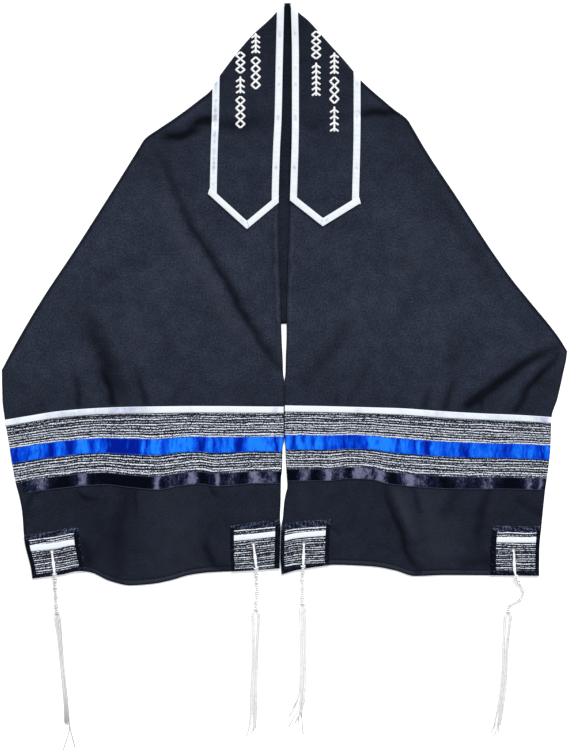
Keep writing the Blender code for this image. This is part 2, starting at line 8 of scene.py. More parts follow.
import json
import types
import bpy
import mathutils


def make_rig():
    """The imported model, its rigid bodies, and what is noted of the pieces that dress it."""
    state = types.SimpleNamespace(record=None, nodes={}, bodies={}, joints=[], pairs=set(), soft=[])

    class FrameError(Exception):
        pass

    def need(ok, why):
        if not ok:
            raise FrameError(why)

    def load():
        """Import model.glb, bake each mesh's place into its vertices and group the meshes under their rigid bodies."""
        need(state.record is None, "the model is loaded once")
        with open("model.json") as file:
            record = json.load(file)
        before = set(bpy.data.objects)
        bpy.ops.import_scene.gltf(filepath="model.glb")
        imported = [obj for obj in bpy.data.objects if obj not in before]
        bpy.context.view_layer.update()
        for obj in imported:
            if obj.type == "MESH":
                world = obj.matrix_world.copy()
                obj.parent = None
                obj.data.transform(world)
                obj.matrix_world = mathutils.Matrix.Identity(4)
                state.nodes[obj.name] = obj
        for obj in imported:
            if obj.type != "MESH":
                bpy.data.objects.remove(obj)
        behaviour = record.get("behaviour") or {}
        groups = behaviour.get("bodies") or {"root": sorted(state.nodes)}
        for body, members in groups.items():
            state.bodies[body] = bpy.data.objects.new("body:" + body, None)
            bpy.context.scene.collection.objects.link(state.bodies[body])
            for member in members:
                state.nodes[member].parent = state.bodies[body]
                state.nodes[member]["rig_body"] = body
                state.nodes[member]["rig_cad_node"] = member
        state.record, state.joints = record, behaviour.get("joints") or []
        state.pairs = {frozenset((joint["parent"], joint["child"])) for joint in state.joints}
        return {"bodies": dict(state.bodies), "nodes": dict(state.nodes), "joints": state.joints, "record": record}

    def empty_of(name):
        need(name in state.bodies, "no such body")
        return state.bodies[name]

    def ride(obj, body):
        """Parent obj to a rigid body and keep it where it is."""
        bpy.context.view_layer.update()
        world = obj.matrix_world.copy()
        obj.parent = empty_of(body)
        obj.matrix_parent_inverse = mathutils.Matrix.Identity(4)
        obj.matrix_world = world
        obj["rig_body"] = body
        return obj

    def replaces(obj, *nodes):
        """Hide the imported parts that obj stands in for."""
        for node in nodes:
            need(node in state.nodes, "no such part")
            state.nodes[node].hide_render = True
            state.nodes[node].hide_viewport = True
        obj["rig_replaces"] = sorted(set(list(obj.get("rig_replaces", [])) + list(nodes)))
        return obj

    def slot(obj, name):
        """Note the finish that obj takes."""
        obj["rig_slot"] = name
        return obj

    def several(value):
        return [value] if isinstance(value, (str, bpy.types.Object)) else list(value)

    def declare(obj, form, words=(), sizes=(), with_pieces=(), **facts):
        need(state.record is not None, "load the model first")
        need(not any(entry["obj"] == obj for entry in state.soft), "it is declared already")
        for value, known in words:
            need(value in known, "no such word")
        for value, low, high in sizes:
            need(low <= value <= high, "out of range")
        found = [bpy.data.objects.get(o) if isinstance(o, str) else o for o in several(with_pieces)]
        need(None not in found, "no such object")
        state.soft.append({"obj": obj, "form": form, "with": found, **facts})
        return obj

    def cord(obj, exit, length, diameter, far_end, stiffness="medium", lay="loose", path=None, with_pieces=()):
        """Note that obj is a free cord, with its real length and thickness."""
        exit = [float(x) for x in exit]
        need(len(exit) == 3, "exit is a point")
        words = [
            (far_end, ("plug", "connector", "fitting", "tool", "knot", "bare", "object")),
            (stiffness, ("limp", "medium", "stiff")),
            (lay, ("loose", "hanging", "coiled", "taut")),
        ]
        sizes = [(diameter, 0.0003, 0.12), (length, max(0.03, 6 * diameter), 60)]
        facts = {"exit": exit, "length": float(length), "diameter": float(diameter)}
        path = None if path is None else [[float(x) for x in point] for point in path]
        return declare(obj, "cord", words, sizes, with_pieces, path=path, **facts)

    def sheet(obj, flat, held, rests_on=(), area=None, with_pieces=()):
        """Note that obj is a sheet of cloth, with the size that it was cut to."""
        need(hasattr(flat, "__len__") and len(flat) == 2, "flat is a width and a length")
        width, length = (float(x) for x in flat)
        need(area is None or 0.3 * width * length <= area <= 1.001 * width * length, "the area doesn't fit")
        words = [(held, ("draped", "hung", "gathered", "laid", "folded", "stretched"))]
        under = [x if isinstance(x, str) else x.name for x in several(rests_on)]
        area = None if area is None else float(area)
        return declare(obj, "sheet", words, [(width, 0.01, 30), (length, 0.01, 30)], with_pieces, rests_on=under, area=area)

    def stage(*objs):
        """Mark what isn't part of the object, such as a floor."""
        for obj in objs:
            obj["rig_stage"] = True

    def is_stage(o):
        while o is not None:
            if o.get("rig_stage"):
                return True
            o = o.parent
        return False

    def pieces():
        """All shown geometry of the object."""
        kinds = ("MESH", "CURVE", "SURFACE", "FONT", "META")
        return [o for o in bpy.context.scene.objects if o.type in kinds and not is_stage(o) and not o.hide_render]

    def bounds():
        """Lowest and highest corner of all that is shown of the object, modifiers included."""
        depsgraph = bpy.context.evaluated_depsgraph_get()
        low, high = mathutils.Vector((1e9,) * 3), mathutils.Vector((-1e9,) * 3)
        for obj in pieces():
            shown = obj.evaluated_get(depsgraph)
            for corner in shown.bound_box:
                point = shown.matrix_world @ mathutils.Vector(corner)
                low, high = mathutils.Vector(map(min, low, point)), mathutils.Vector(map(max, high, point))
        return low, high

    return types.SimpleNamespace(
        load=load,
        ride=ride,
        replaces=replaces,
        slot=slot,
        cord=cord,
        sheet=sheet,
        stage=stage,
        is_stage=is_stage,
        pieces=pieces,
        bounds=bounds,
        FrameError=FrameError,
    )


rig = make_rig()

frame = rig.load()

import json
from collections import namedtuple

import bpy
import numpy as np
from mathutils import Vector

MM = 0.001
SIZE_FILE = "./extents.json"
cad_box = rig.bounds()

# ---- the view, straight down, and the light
VIEW_HEIGHT = 752                                 # the render's height in pixels
MM_PER_PIXEL = 1.6
VIEW_CENTRE_Y = -132.0
LENS, SENSOR = 120.0, 36.0
SKY, SUN = 0.68, 3.3
FLOOR_REACH = 4.0                                 # metres from the middle to the floor's edges

# ---- cloth and layers, as the solids have them
CLOTH, TRIM, GAP = 1.5, 1.0, 0.3                  # walls, and the gap between two layers
LAID_TOP = CLOTH - 0.2                            # upper surface of cloth on the floor, before it swells
ROLL_RADIUS, LIP, ROLL_FALL = 3.5, 5.0, 40.0      # the fold's roll, the lip under it, the slope down from it
NECK_LIFT = GAP + TRIM + GAP + TRIM               # room under the neck for the neckband and its ribbon
BACK_RISE, FRONT_RISE = (190, 280), (110, 250)    # heights y over which the layers rise towards the neck
FRONT_EXTRA_LIFT = 0.5                            # how much more a front rises there than the back
DROP = (20, 65)                                   # below the back's hem, where a front comes down
LOOSENESS, LOOSE_FROM_EDGE, LOOSE_FROM_BAND = 2.4, 45, 70    # how far a front stands off, from how far in
LEAST_STAND = 0.3                                 # below it a crease sinks ever less, and never to nothing
CREASES_FROM_BAND, GATHERS_FROM_BAND, SHADE_FROM_BAND = 16, 3, 6    # above the band, full strength from here
WIDTH_AT_NECKBAND = 443
NECKBAND, NECK_RIBBON = 110, 11
POINT_RIBBON = NECK_RIBBON / np.cos(np.radians(41))
WHITE, UPPER_GREY, BLUE, LOWER_GREY, BLACK = 10, 38, 24, 31, 20
BAND_LINES = np.cumsum((0, WHITE, UPPER_GREY, BLUE, LOWER_GREY, BLACK))
WHITE_TOP, WHITE_LOW, BLUE_TOP, BLUE_LOW, BLACK_TOP, BLACK_LOW = BAND_LINES / BAND_LINES[-1]
UPPER_SEAM, LOWER_SEAM = (WHITE_TOP + WHITE_LOW) / 2, (BLACK_TOP + BLACK_LOW) / 2
PATCH_BORDER_LOW = 6
STRIP_DEPTH = 9
EYELET_SHARE = 0.55                               # how high an eyelet sits in its patch
HEM_WIDTH, HEM_DEPTH, END_DEPTH = 402, 9, 145
CORD_RADIUS = 2.0
CORD_RISE = ((0.0, 2.6), (0.8, 5.2), (3.5, 6.4), (10.0, 6.6))    # (way along, height) from the eyelet
CORD_FALL = 20                                    # way below the hem in which a cord comes down

# ---- fine thicknesses of the looks, and how far the trims lie above the cloth
CLOTH_WALL, RIBBON_WALL, BAND_WALL, END_WALL, BORDER_WALL, NECKBAND_WALL = 1.0, 0.5, 0.8, 0.9, 0.7, 0.6
NECKBAND_ABOVE, RIBBON_ABOVE, PATCH_ABOVE, BORDER_ABOVE, STITCH_ABOVE = 1.1, 1.9, 1.2, 1.9, 1.35
BAND_RIBBON_ABOVE = RIBBON_ABOVE - 0.4
FLOOR_CLEARANCE = 0.02
ROLL_END = 0.035                                  # share of the width in which the fold's roll dies away
SIDE_DROP = 0.05                                  # share in which a front comes down at its outer edge
CREASE_GAIN, BANK, BANK_WIDTH = 1.5, 0.42, 2.1    # a crease's full height, and the banks beside it
PATTERN_SHIFT = 900                               # sets the right half's streaks apart from the left's
LIGHTEST, DARKEST_FOLD, DARKEST = -0.5, 0.9, 0.95     # limits of the painted shade that a mesh carries; below 0 it is painted light
RIBBON_ROWS, BAND_RIBBON_ROWS, RIBBON_CROWN = 9, 13, 0.35    # points across a ribbon, and how far it swells
PUCKER, PUFF, BORDER_SWELL = 0.12, 0.22, 0.7      # heights of the ribbons' and the borders' unevenness
RIBBON_EDGE = 0.07                                # share of a ribbon's depth that its woven edge takes
HEM_RISE, HEM_SLOPE, HEM_SEWING = 0.35, 1.5, 8.6  # the turned hem's height, its step's width, its stitches
EYELET_OPEN, PATCH_OPEN = 3.1, 2.9                # radii of an eyelet's holes in the end cloth and the patch
RING_RADIUS, RING_YARN = 3.4, 0.55                # the worked ring round it
FINE_REACH, CLEAR_REACH, FINE_LINES = 5, 5.3, 13  # the closer lines of a grid round an eyelet

# ---- waves: (length, direction in degrees, shift, height)
GENTLE = (
    (310, 20, 0.1, 0.35), (190, 75, 0.4, 0.3), (120, 140, 0.7, 0.2), (83, 40, 0.2, 0.12),
    (57, 110, 0.55, 0.08))
CREASE_SWAY = ((61, 95, 0.2, 1.1), (34, 70, 0.6, 0.8), (19, 110, 0.1, 0.5))
RIBBON_PUCKER = ((7.5, 80, 0.2, 0.5), (11, 20, 0.6, 0.5), (23, 100, 0.1, 0.6))
BORDER_PUFF = ((6.3, 15, 0.2, 0.4), (9.1, 70, 0.5, 0.4), (4.2, 40, 0.8, 0.2))
SOFT_SPOTS = ((13, 12, 0.1, 0.12), (8.3, 8, 0.4, 0.08), (23, 30, 0.7, 0.14))
SLOW_SPOTS = ((71, 3, 0.3, 0.16), (43, 5, 0.6, 0.14))

# a crease's third number is painted shade: how much darker its cloth is painted, and below 0 how much lighter
Crease = namedtuple("Crease", "height half_width nap path")       # path rows: (out, y, strength)
Patch = namedtuple("Patch", "name start grey_start eyelet grey_end end height lines")
Lines = namedtuple("Lines", "low strip_low strip_top grey_top top")   # heights on a patch, up from the hem
Tassel = namedtuple("Tassel", "patch knots strands")
Glint = namedtuple("Glint", "out half_width strength")   # painted highlight on the blue and black ribbons, painted shade on the white ones; below 0 painted shade


# ---- reading the tables

def smooth(share):
    """Rises softly from 0 to 1 as share does, and stays there."""
    share = np.clip(share, 0, 1)
    return share * share * (3 - 2 * share)


def between(values, slopes, piece, span, t):
    """Reads a smooth curve at the share t of the span that follows each of its rows."""
    return ((2 * t ** 3 - 3 * t ** 2 + 1) * values[piece] + (t ** 3 - 2 * t ** 2 + t) * span * slopes[piece]
            + (3 * t ** 2 - 2 * t ** 3) * values[piece + 1] + (t ** 3 - t ** 2) * span * slopes[piece + 1])


def along_curve(table, at):
    """Reads a table of (at, value) rows on a smooth curve that never overshoots its rows."""
    rows = np.array(sorted(table), dtype=float)
    x, y = rows[:, 0], rows[:, 1]
    width = np.diff(x)
    slope = np.diff(y) / width
    before, after = slope[:-1], slope[1:]
    weight_a, weight_b = 2 * width[1:] + width[:-1], width[1:] + 2 * width[:-1]
    same_way = before * after > 0
    safe_before, safe_after = np.where(same_way, before, 1), np.where(same_way, after, 1)
    middle = (weight_a + weight_b) / (weight_a / safe_before + weight_b / safe_after)
    tangent = np.concatenate(([slope[0]], np.where(same_way, middle, 0), [slope[-1]]))
    at = np.clip(at, x[0], x[-1])
    piece = np.clip(np.searchsorted(x, at, side="right") - 1, 0, len(x) - 2)
    span = width[piece]
    return between(y, tangent, piece, span, (at - x[piece]) / span)


def straight_between(table, at):
    """Reads a table of (at, value) rows, straight between its rows."""
    return np.interp(at, *zip(*sorted(table)))


def way_along(path):
    """The way along a path to each of its points."""
    return np.concatenate(([0], np.cumsum(np.linalg.norm(np.diff(path, axis=0), axis=1))))


def through(path, ways):
    """Points of a smooth curve through the path's points, at these ways along it."""
    path = np.array(path, dtype=float)
    way = way_along(path)
    slopes = np.gradient(path, way, axis=0)
    piece = np.clip(np.searchsorted(way, ways, side="right") - 1, 0, len(way) - 2)
    span = (way[piece + 1] - way[piece])[:, None]
    return between(path, slopes, piece, span, ((ways - way[piece]) / span[:, 0])[:, None])


def waves(x, y, rows):
    """A sum of waves, one for each row."""
    total = np.zeros(np.broadcast(x, y).shape)
    for length, direction, shift, height in rows:
        turn = np.radians(direction)
        way = (x * np.cos(turn) + y * np.sin(turn)) / length
        total = total + height * np.sin(2 * np.pi * (way + shift))
    return total


def crease_reach(crease, out, y):
    """Distance from a crease's line in its half widths, and its strength there."""
    rows = np.array(crease.path, dtype=float)
    even = np.linspace(0, way_along(rows[:, :2])[-1], 24)
    path = through(rows[:, :2], even)
    strengths = np.interp(even, way_along(rows[:, :2]), rows[:, 2])
    out = out + waves(out, y, CREASE_SWAY)
    nearest = np.full(np.shape(y), np.inf)
    strength = np.zeros(np.shape(y))
    for (out_a, y_a), (out_b, y_b), here, there in zip(path, path[1:], strengths, strengths[1:]):
        step_out, step_y = out_b - out_a, y_b - y_a
        t = ((out - out_a) * step_out + (y - y_a) * step_y) / (step_out ** 2 + step_y ** 2)
        t = np.clip(t, 0, 1)
        gap = np.hypot(out - out_a - t * step_out, y - y_a - t * step_y)
        closer = gap < nearest
        nearest = np.where(closer, gap, nearest)
        strength = np.where(closer, here + t * (there - here), strength)
    return nearest / crease.half_width, strength


def crease_height(crease, out, y):
    """How far a crease lifts or sinks the cloth at each point."""
    reach, strength = crease_reach(crease, out, y)
    ridge = np.exp(-reach ** 2) - BANK * np.exp(-(reach / BANK_WIDTH) ** 2)
    return CREASE_GAIN * crease.height * strength * ridge


class Half:
    """One half of the shawl: its outline, its layers and its creases."""

    def __init__(self, name, side, **tables):
        self.name, self.side = name, side
        for table, rows in tables.items():
            setattr(self, table, rows)
        for table in ("creases", "gathers", "end_folds"):
            setattr(self, table, [Crease(*row) for row in tables[table]])
        self.glints = {colour: [Glint(*row) for row in rows] for colour, rows in self.glints.items()}
        self.samples = np.linspace(0, 1, 500)
        self.fold_y = self.height_on(self.fold, self.samples)
        run = np.gradient(self.out_at(self.samples, self.fold_y))
        slant = np.abs(run) / np.hypot(run, np.gradient(self.fold_y))
        kernel = np.ones(15) / 15
        self.fold_slant = np.convolve(np.pad(slant, 7, mode="edge"), kernel, mode="valid")

    def out_at(self, column, y):
        """How far out a column lies at the height y."""
        inner = along_curve(self.inner_edge, y)
        return inner + column * (along_curve(self.outer_edge, y) - inner)

    def column_at(self, out, y):
        """The column of a point."""
        inner = along_curve(self.inner_edge, y)
        return np.clip((out - inner) / (along_curve(self.outer_edge, y) - inner), 0, 1)

    def height_on(self, table, columns, read=along_curve):
        """Heights at which the columns cross a line given by its (out, y) table."""
        y = np.full(np.shape(columns), float(np.mean([row[1] for row in table])))
        for _ in range(9):     # a column leans a little, so its crossing is found in a few steps
            y = read(table, self.out_at(columns, y))
        return y

    def point_at(self, columns):
        """Heights of the neckband's pointed end, which is straight between its corners."""
        return self.height_on(self.point, columns, straight_between)

    def band_line(self, share, columns):
        """Heights of a line of the striped band."""
        top = self.height_on(self.band_top, columns)
        return top + share * (self.height_on(self.band_low, columns) - top)

    def fold_at(self, column):
        """Height of the fold in a column."""
        return np.interp(column, self.samples, self.fold_y)

    def slant_at(self, column):
        """Sine of the angle between the fold and the columns."""
        return np.interp(column, self.samples, self.fold_slant)

    def roll_at(self, column):
        """Radius of the fold's roll in a column."""
        return ROLL_RADIUS * smooth((1 - column) / ROLL_END)

    def resting_top(self, column, out, y):
        """Top of a front that lies flat on the back layer, or on the floor below the back's hem."""
        lift = (NECK_LIFT + FRONT_EXTRA_LIFT) * smooth((y - FRONT_RISE[0]) / (FRONT_RISE[1] - FRONT_RISE[0]))
        on_back = CLOTH + GAP + CLOTH + lift
        below_hem = np.interp(out, *zip(*self.back_hem)) - y
        drop = smooth((below_hem - DROP[0]) / (DROP[1] - DROP[0]))
        drop = np.maximum(drop, smooth((column - 1 + SIDE_DROP) / SIDE_DROP))
        return on_back + (CLOTH - on_back) * drop

    def looseness(self, column, out, y):
        """How far the creased cloth stands off what it rests on."""
        above_band = y - self.band_line(WHITE_TOP, column)
        settled = smooth((out - along_curve(self.inner_edge, y)) / LOOSE_FROM_EDGE)
        settled = settled * smooth(above_band / LOOSE_FROM_BAND) * smooth((1 - column) / SIDE_DROP)
        stand = (LOOSENESS + waves(self.side * out, y, GENTLE)) * settled
        near_band = smooth(above_band / CREASES_FROM_BAND)
        for crease in self.creases:
            stand = stand + crease_height(crease, out, y) * near_band
        for crease in self.gathers:
            stand = stand + crease_height(crease, out, y) * smooth(above_band / GATHERS_FROM_BAND)
        pressed = LEAST_STAND * np.exp(np.minimum(stand / LEAST_STAND - 1, 0))
        return np.where(stand > LEAST_STAND, stand, pressed)

    def top_at(self, out, y):
        """Height of the upper surface of the half's front at each point."""
        column = self.column_at(out, y)
        fold = self.fold_at(column)
        roll = self.roll_at(column)
        inward = (fold - y) * self.slant_at(column)
        flat = self.resting_top(column, out, y)
        tops = flat + self.looseness(column, out, y)
        fall = (1 - smooth((inward - roll) / ROLL_FALL)) * smooth((1 - column) / ROLL_END)
        tops = tops + (back_lift(fold) + 2 * roll - tops) * fall
        inside = np.clip(roll - inward, 0, roll)
        return tops - roll + np.sqrt(np.maximum(roll ** 2 - inside ** 2, 0))

    def around_roll(self, columns, above=0.0, count=13):
        """Rows of points round the roll, from under it to its crest, or above its surface."""
        roll, fold, slant = self.roll_at(columns), self.fold_at(columns), self.slant_at(columns)
        reach = roll + above
        rows = []
        for turn in np.radians(np.linspace(-90, 90, count)):
            y = fold - (roll - reach * np.cos(turn)) / slant
            height = back_lift(fold) + roll + reach * np.sin(turn)
            rows.append(np.stack((self.side * self.out_at(columns, y), y, height), axis=-1))
        return np.array(rows)

    def crest_at(self, columns):
        """Heights y of the roll's crest."""
        return self.fold_at(columns) - self.roll_at(columns) / self.slant_at(columns)

    def points(self, out, y, above=0.0):
        """Points on the front's upper surface, or above it."""
        return np.stack((self.side * out, y, self.top_at(out, y) + above), axis=-1)

    def band_points(self, out, y, above=0.0):
        """Points on the striped band and the end panel, which lie on the floor, or above them."""
        swell = np.clip(0.2 + 0.35 * waves(self.side * out, y, GENTLE), 0, 0.6)
        for fold in self.end_folds:
            swell = swell + crease_height(fold, out, y)
        return np.stack((self.side * out, y, LAID_TOP + np.clip(swell, 0, 2.5) + above), axis=-1)

    def band_grid(self, columns, y, above=0.0):
        """The same in these columns, and how far out the points lie."""
        outs = self.out_at(columns, y)
        return self.band_points(outs, y, above), outs

    def pattern_at(self, outs):
        """Where a woven pattern is read, so that the halves differ."""
        return outs + PATTERN_SHIFT * (self.side > 0)

    def lower_seam(self, columns):
        """Share of the band at which the grey cloth meets the end panel, under the black ribbon."""
        past_ribbon = smooth((columns - self.black_end + 0.004) / 0.004)
        return LOWER_SEAM + (BLACK_TOP + 0.01 - LOWER_SEAM) * past_ribbon

    def hem_up(self, columns, up):
        """Heights y at this distance up from the hem."""
        return self.height_on(self.hem, columns) + up

    def patch_height(self, column):
        """Height of the grey part of a corner patch in a column."""
        inner, outer = self.patches
        return inner.height + column * (outer.height - inner.height)

    def eyelet(self, patch):
        """The (out, y) of a corner patch's eyelet."""
        column = np.array([patch.eyelet])
        y = self.hem_up(column, PATCH_BORDER_LOW + EYELET_SHARE * self.patch_height(column))
        return self.out_at(column, y)[0], y[0]


def back_lift(y):
    """How far the back layer is lifted by the neckband that passes under it."""
    return NECK_LIFT * smooth((y - BACK_RISE[0]) / (BACK_RISE[1] - BACK_RISE[0]))


LEFT = Half(
    "left", -1,
    fold=(
        (0.5, 464.6), (11, 450), (56, 406), (104, 345), (117, 325), (135, 310), (178, 278), (202, 262),
        (224, 246), (234, 230), (284, 150), (335, 70), (388, -10), (426, -74), (452.2, -122)),
    inner_edge=(
        (465, 0.5), (452, 0.8), (374, 2.7), (278, 4.8), (230, 7.2), (142, 9.4), (-46, 5.2), (-78, 4.2),
        (-103, 2.8), (-129, 2), (-140, 0.3), (-150, 0.1), (-228, 0.1), (-236, 0.6), (-246, 2.9),
        (-282, 3.9), (-296, 5.5), (-334, 6.1), (-360, 7.1), (-372, 6.2), (-398, 6.8), (-436, 7.6),
        (-456, 7.8)),
    outer_edge=(
        (-122, 452.2), (-170, 451), (-202, 447), (-250, 439), (-298, 431), (-330, 423), (-346, 420),
        (-394, 416), (-442, 405), (-456, 403)),
    back_hem=((0, -48.5), (20, -49), (452, -127)),
    band_top=(
        (0, -181), (135, -180), (231, -181), (295, -183), (359, -188), (417, -197), (447, -202)),
    band_low=(
        (0, -304), (39, -304), (111, -308.5), (135, -305), (167, -308), (202, -314), (252, -310),
        (287, -306), (322, -308), (359, -312), (391, -316), (430, -322)),
    hem=(
        (0, -439), (71, -444), (119, -446), (151, -450), (183, -459), (215, -465), (247, -467), (279, -460),
        (311, -446), (327, -444), (359, -450), (403, -456)),
    point=((9.4, 145), (60, 102.6), (122, 158.6)),
    patches=(
        Patch("inner", 0, 0.021, 0.105, 0.181, 0.194, 66,
              (Lines(1.5, 51.5, 60.5, 69.4, 79.5), Lines(2.0, 48.5, 56.8, 66.6, 73.5))),
        Patch("outer", 0.785, 0.805, 0.9, 0.982, 1, 58,
              (Lines(6.4, 41.4, 50.4, 62.4, 69.5), Lines(5.6, 42.9, 52.3, 61.8, 69.0)))),
    creases=(
        (-3.4, 7.5, 0.8, ((214, 246, 0), (199, 214, 0.4), (184, 188, 0.55), (165, 138, 0.7), (140, 92, 0.9),
         (112, 50, 1), (86, 4, 1.05), (60, -44, 1), (28, -92, 0.8), (8, -120, 0.5))),
        (2.2, 15, -0.12, ((228, 200, 0.3), (190, 126, 0.8), (158, 72, 1), (126, 22, 1), (96, -34, 0.9),
         (66, -80, 0.5))),
        (-2.9, 8.5, 1.1, ((200, 246, 0.1), (188, 250, 0.8), (168, 250, 1), (150, 258, 0.9),
         (138, 262, 0.4))),
        (-2.5, 7, 1.15, ((150, 268, 0.3), (136, 274, 1), (118, 276, 1))),
        (1.4, 11, -0.1, ((188, 272, 0.4), (160, 282, 1), (134, 296, 0.6))),
        (-2.0, 19, 0.75, ((312, -20, 0), (306, -60, 0.8), (292, -92, 1), (280, -122, 1), (266, -150, 0.6),
         (258, -176, 0.4))),
        (-1.6, 13, 0.6, ((118, 274, 0.5), (92, 268, 1), (60, 268, 0.9), (36, 276, 0.5), (8, 284, 0.3))),
        (0.7, 2.2, -0.2, ((12.5, 142, 0.2), (13.5, 100, 1), (12.5, 40, 1), (10.5, -20, 1), (8, -60, 0.8),
         (5, -130, 0.2))),
        (-1.0, 3, 0.3, ((19, 142, 0.2), (19, 60, 1), (16, -20, 0.8), (12, -80, 0.4))),
        (-1.2, 11, 0.22, ((214, -20, 0.2), (190, -66, 0.8), (176, -104, 1), (166, -150, 0.5))),
        (1.2, 16, -0.08, ((250, -10, 0.2), (238, -60, 1), (226, -110, 0.7))),
        (-1.3, 13, 0.26, ((170, 100, 0), (196, 150, 0.5), (212, 196, 0.8), (222, 224, 0.4))),
        (-0.9, 22, 0.2, ((262, 60, 0.1), (290, 20, 0.7), (330, -30, 0.8), (380, -90, 0.7),
         (424, -140, 0.4))),
    ),
    gathers=(
        (-1.9, 6, 0.7, ((338, -118, 0), (333, -146, 0.8), (328, -186, 1))),
        (-2.0, 7, 0.75, ((296, -112, 0), (284, -142, 0.9), (272, -184, 1))),
        (-2.0, 6, 0.7, ((240, -110, 0), (230, -146, 0.8), (221, -182, 1))),
        (-1.2, 5, 0.25, ((182, -140, 0), (174, -160, 0.6), (172, -181, 1))),
        (1.2, 8, -0.08, ((254, -140, 0), (248, -182, 1))),
        (1.0, 7, -0.08, ((306, -142, 0), (300, -184, 1))),
        (-1.0, 6, 0.2, ((392, -150, 0), (386, -190, 1))),
        (-0.9, 6, 0.2, ((116, -150, 0), (112, -181, 1))),
    ),
    end_folds=(
        (-1.2, 17, 0.5, ((246, -306, 0.8), (257, -346, 1), (266, -402, 0.9), (263, -446, 0.6))),
        (-1.0, 3, 0.45, ((239, -305, 0.7), (238, -340, 1), (240, -372, 0.1))),
        (-1.2, 4, 0.7, ((332, -316, 0.5), (321, -326, 1), (301, -329, 0.6))),
        (-1.2, 11, 0.6, ((324, -398, 0.8), (312, -428, 1))),
        (-1.4, 7, 0.7, ((114, -372, 0), (125, -410, 1), (112, -432, 1), (92, -441, 0.5))),
        (-1.3, 4, 0.7, ((121, -306, 0.6), (113, -318, 1), (102, -326, 0.3))),
        (-1.1, 3.5, 0.6, ((417, -358, 0.4), (406, -326, 1), (390, -314, 0.5))),
        (0.8, 3, -0.05, ((412, -366, 0.4), (398, -336, 1), (386, -322, 0.3))),
        (0.4, 50, -0.05, ((182, -312, 1), (172, -440, 1))),
        (-0.8, 26, 0.3, ((352, -330, 0.6), (300, -360, 1), (292, -420, 0.8))),
    ),
    black_end=0.976,
    # painted highlights and shade along the band's satin ribbons: (out, half width, strength)
    glints={
        "blue": (
            (428, 1.5, -.6), (398, 12, .5), (375, 7, -.3), (359, 5, .35), (342, 7, -.45), (324, 8, .85),
            (298, 8, .25), (266, 18, -.6), (239, 9, -.5), (225.6, 2.5, .5), (222, 1.5, -.5), (209, 5, .6),
            (201, 3, .55), (168, 18, .7), (151, 6, .3), (130.4, 4, -.35), (119, 5, .65), (112.8, 2, -.4),
            (97, 9, .4), (84, 3, .4), (71, 7, -.3), (55, 5, .4), (40, 13, .75), (24, 5, .5),
            (13.6, 1.5, -.7), (5.6, 3, .6)),
        "black": (
            (407, 4, .25), (390, 9, .6), (354, 14, -.4), (323, 7, .85), (262, 38, -.5), (230, 12, -.4),
            (131, 6, -.4), (66, 6, -.2), (204, 4, 1), (183, 7, .25), (170, 5, .2), (148, 9, .8),
            (107, 3.5, .95), (84, 9, .2), (47, 9, .8), (22, 9, .45), (7, 2.5, -.6)),
        "white": (
            (428, 12, .5), (376, 14, .45), (350, 14, .55), (324, 14, .45), (299, 14, .5), (272, 15, .75),
            (247, 15, .8), (222, 14, .6), (198, 10, .25), (150, 9, .3), (92, 16, .35), (15, 8, .6)),
    },
    tassels=(
        Tassel("inner", ((45, -442), (44, -470), (45.6, -506)),
               ((47, -586), (49.6, -650), (51, -697), (53, -710))),
        Tassel("outer", ((367, -454), (366, -484), (364, -512)),
               ((356, -586), (350, -650), (347, -689), (345, -730)))),
)

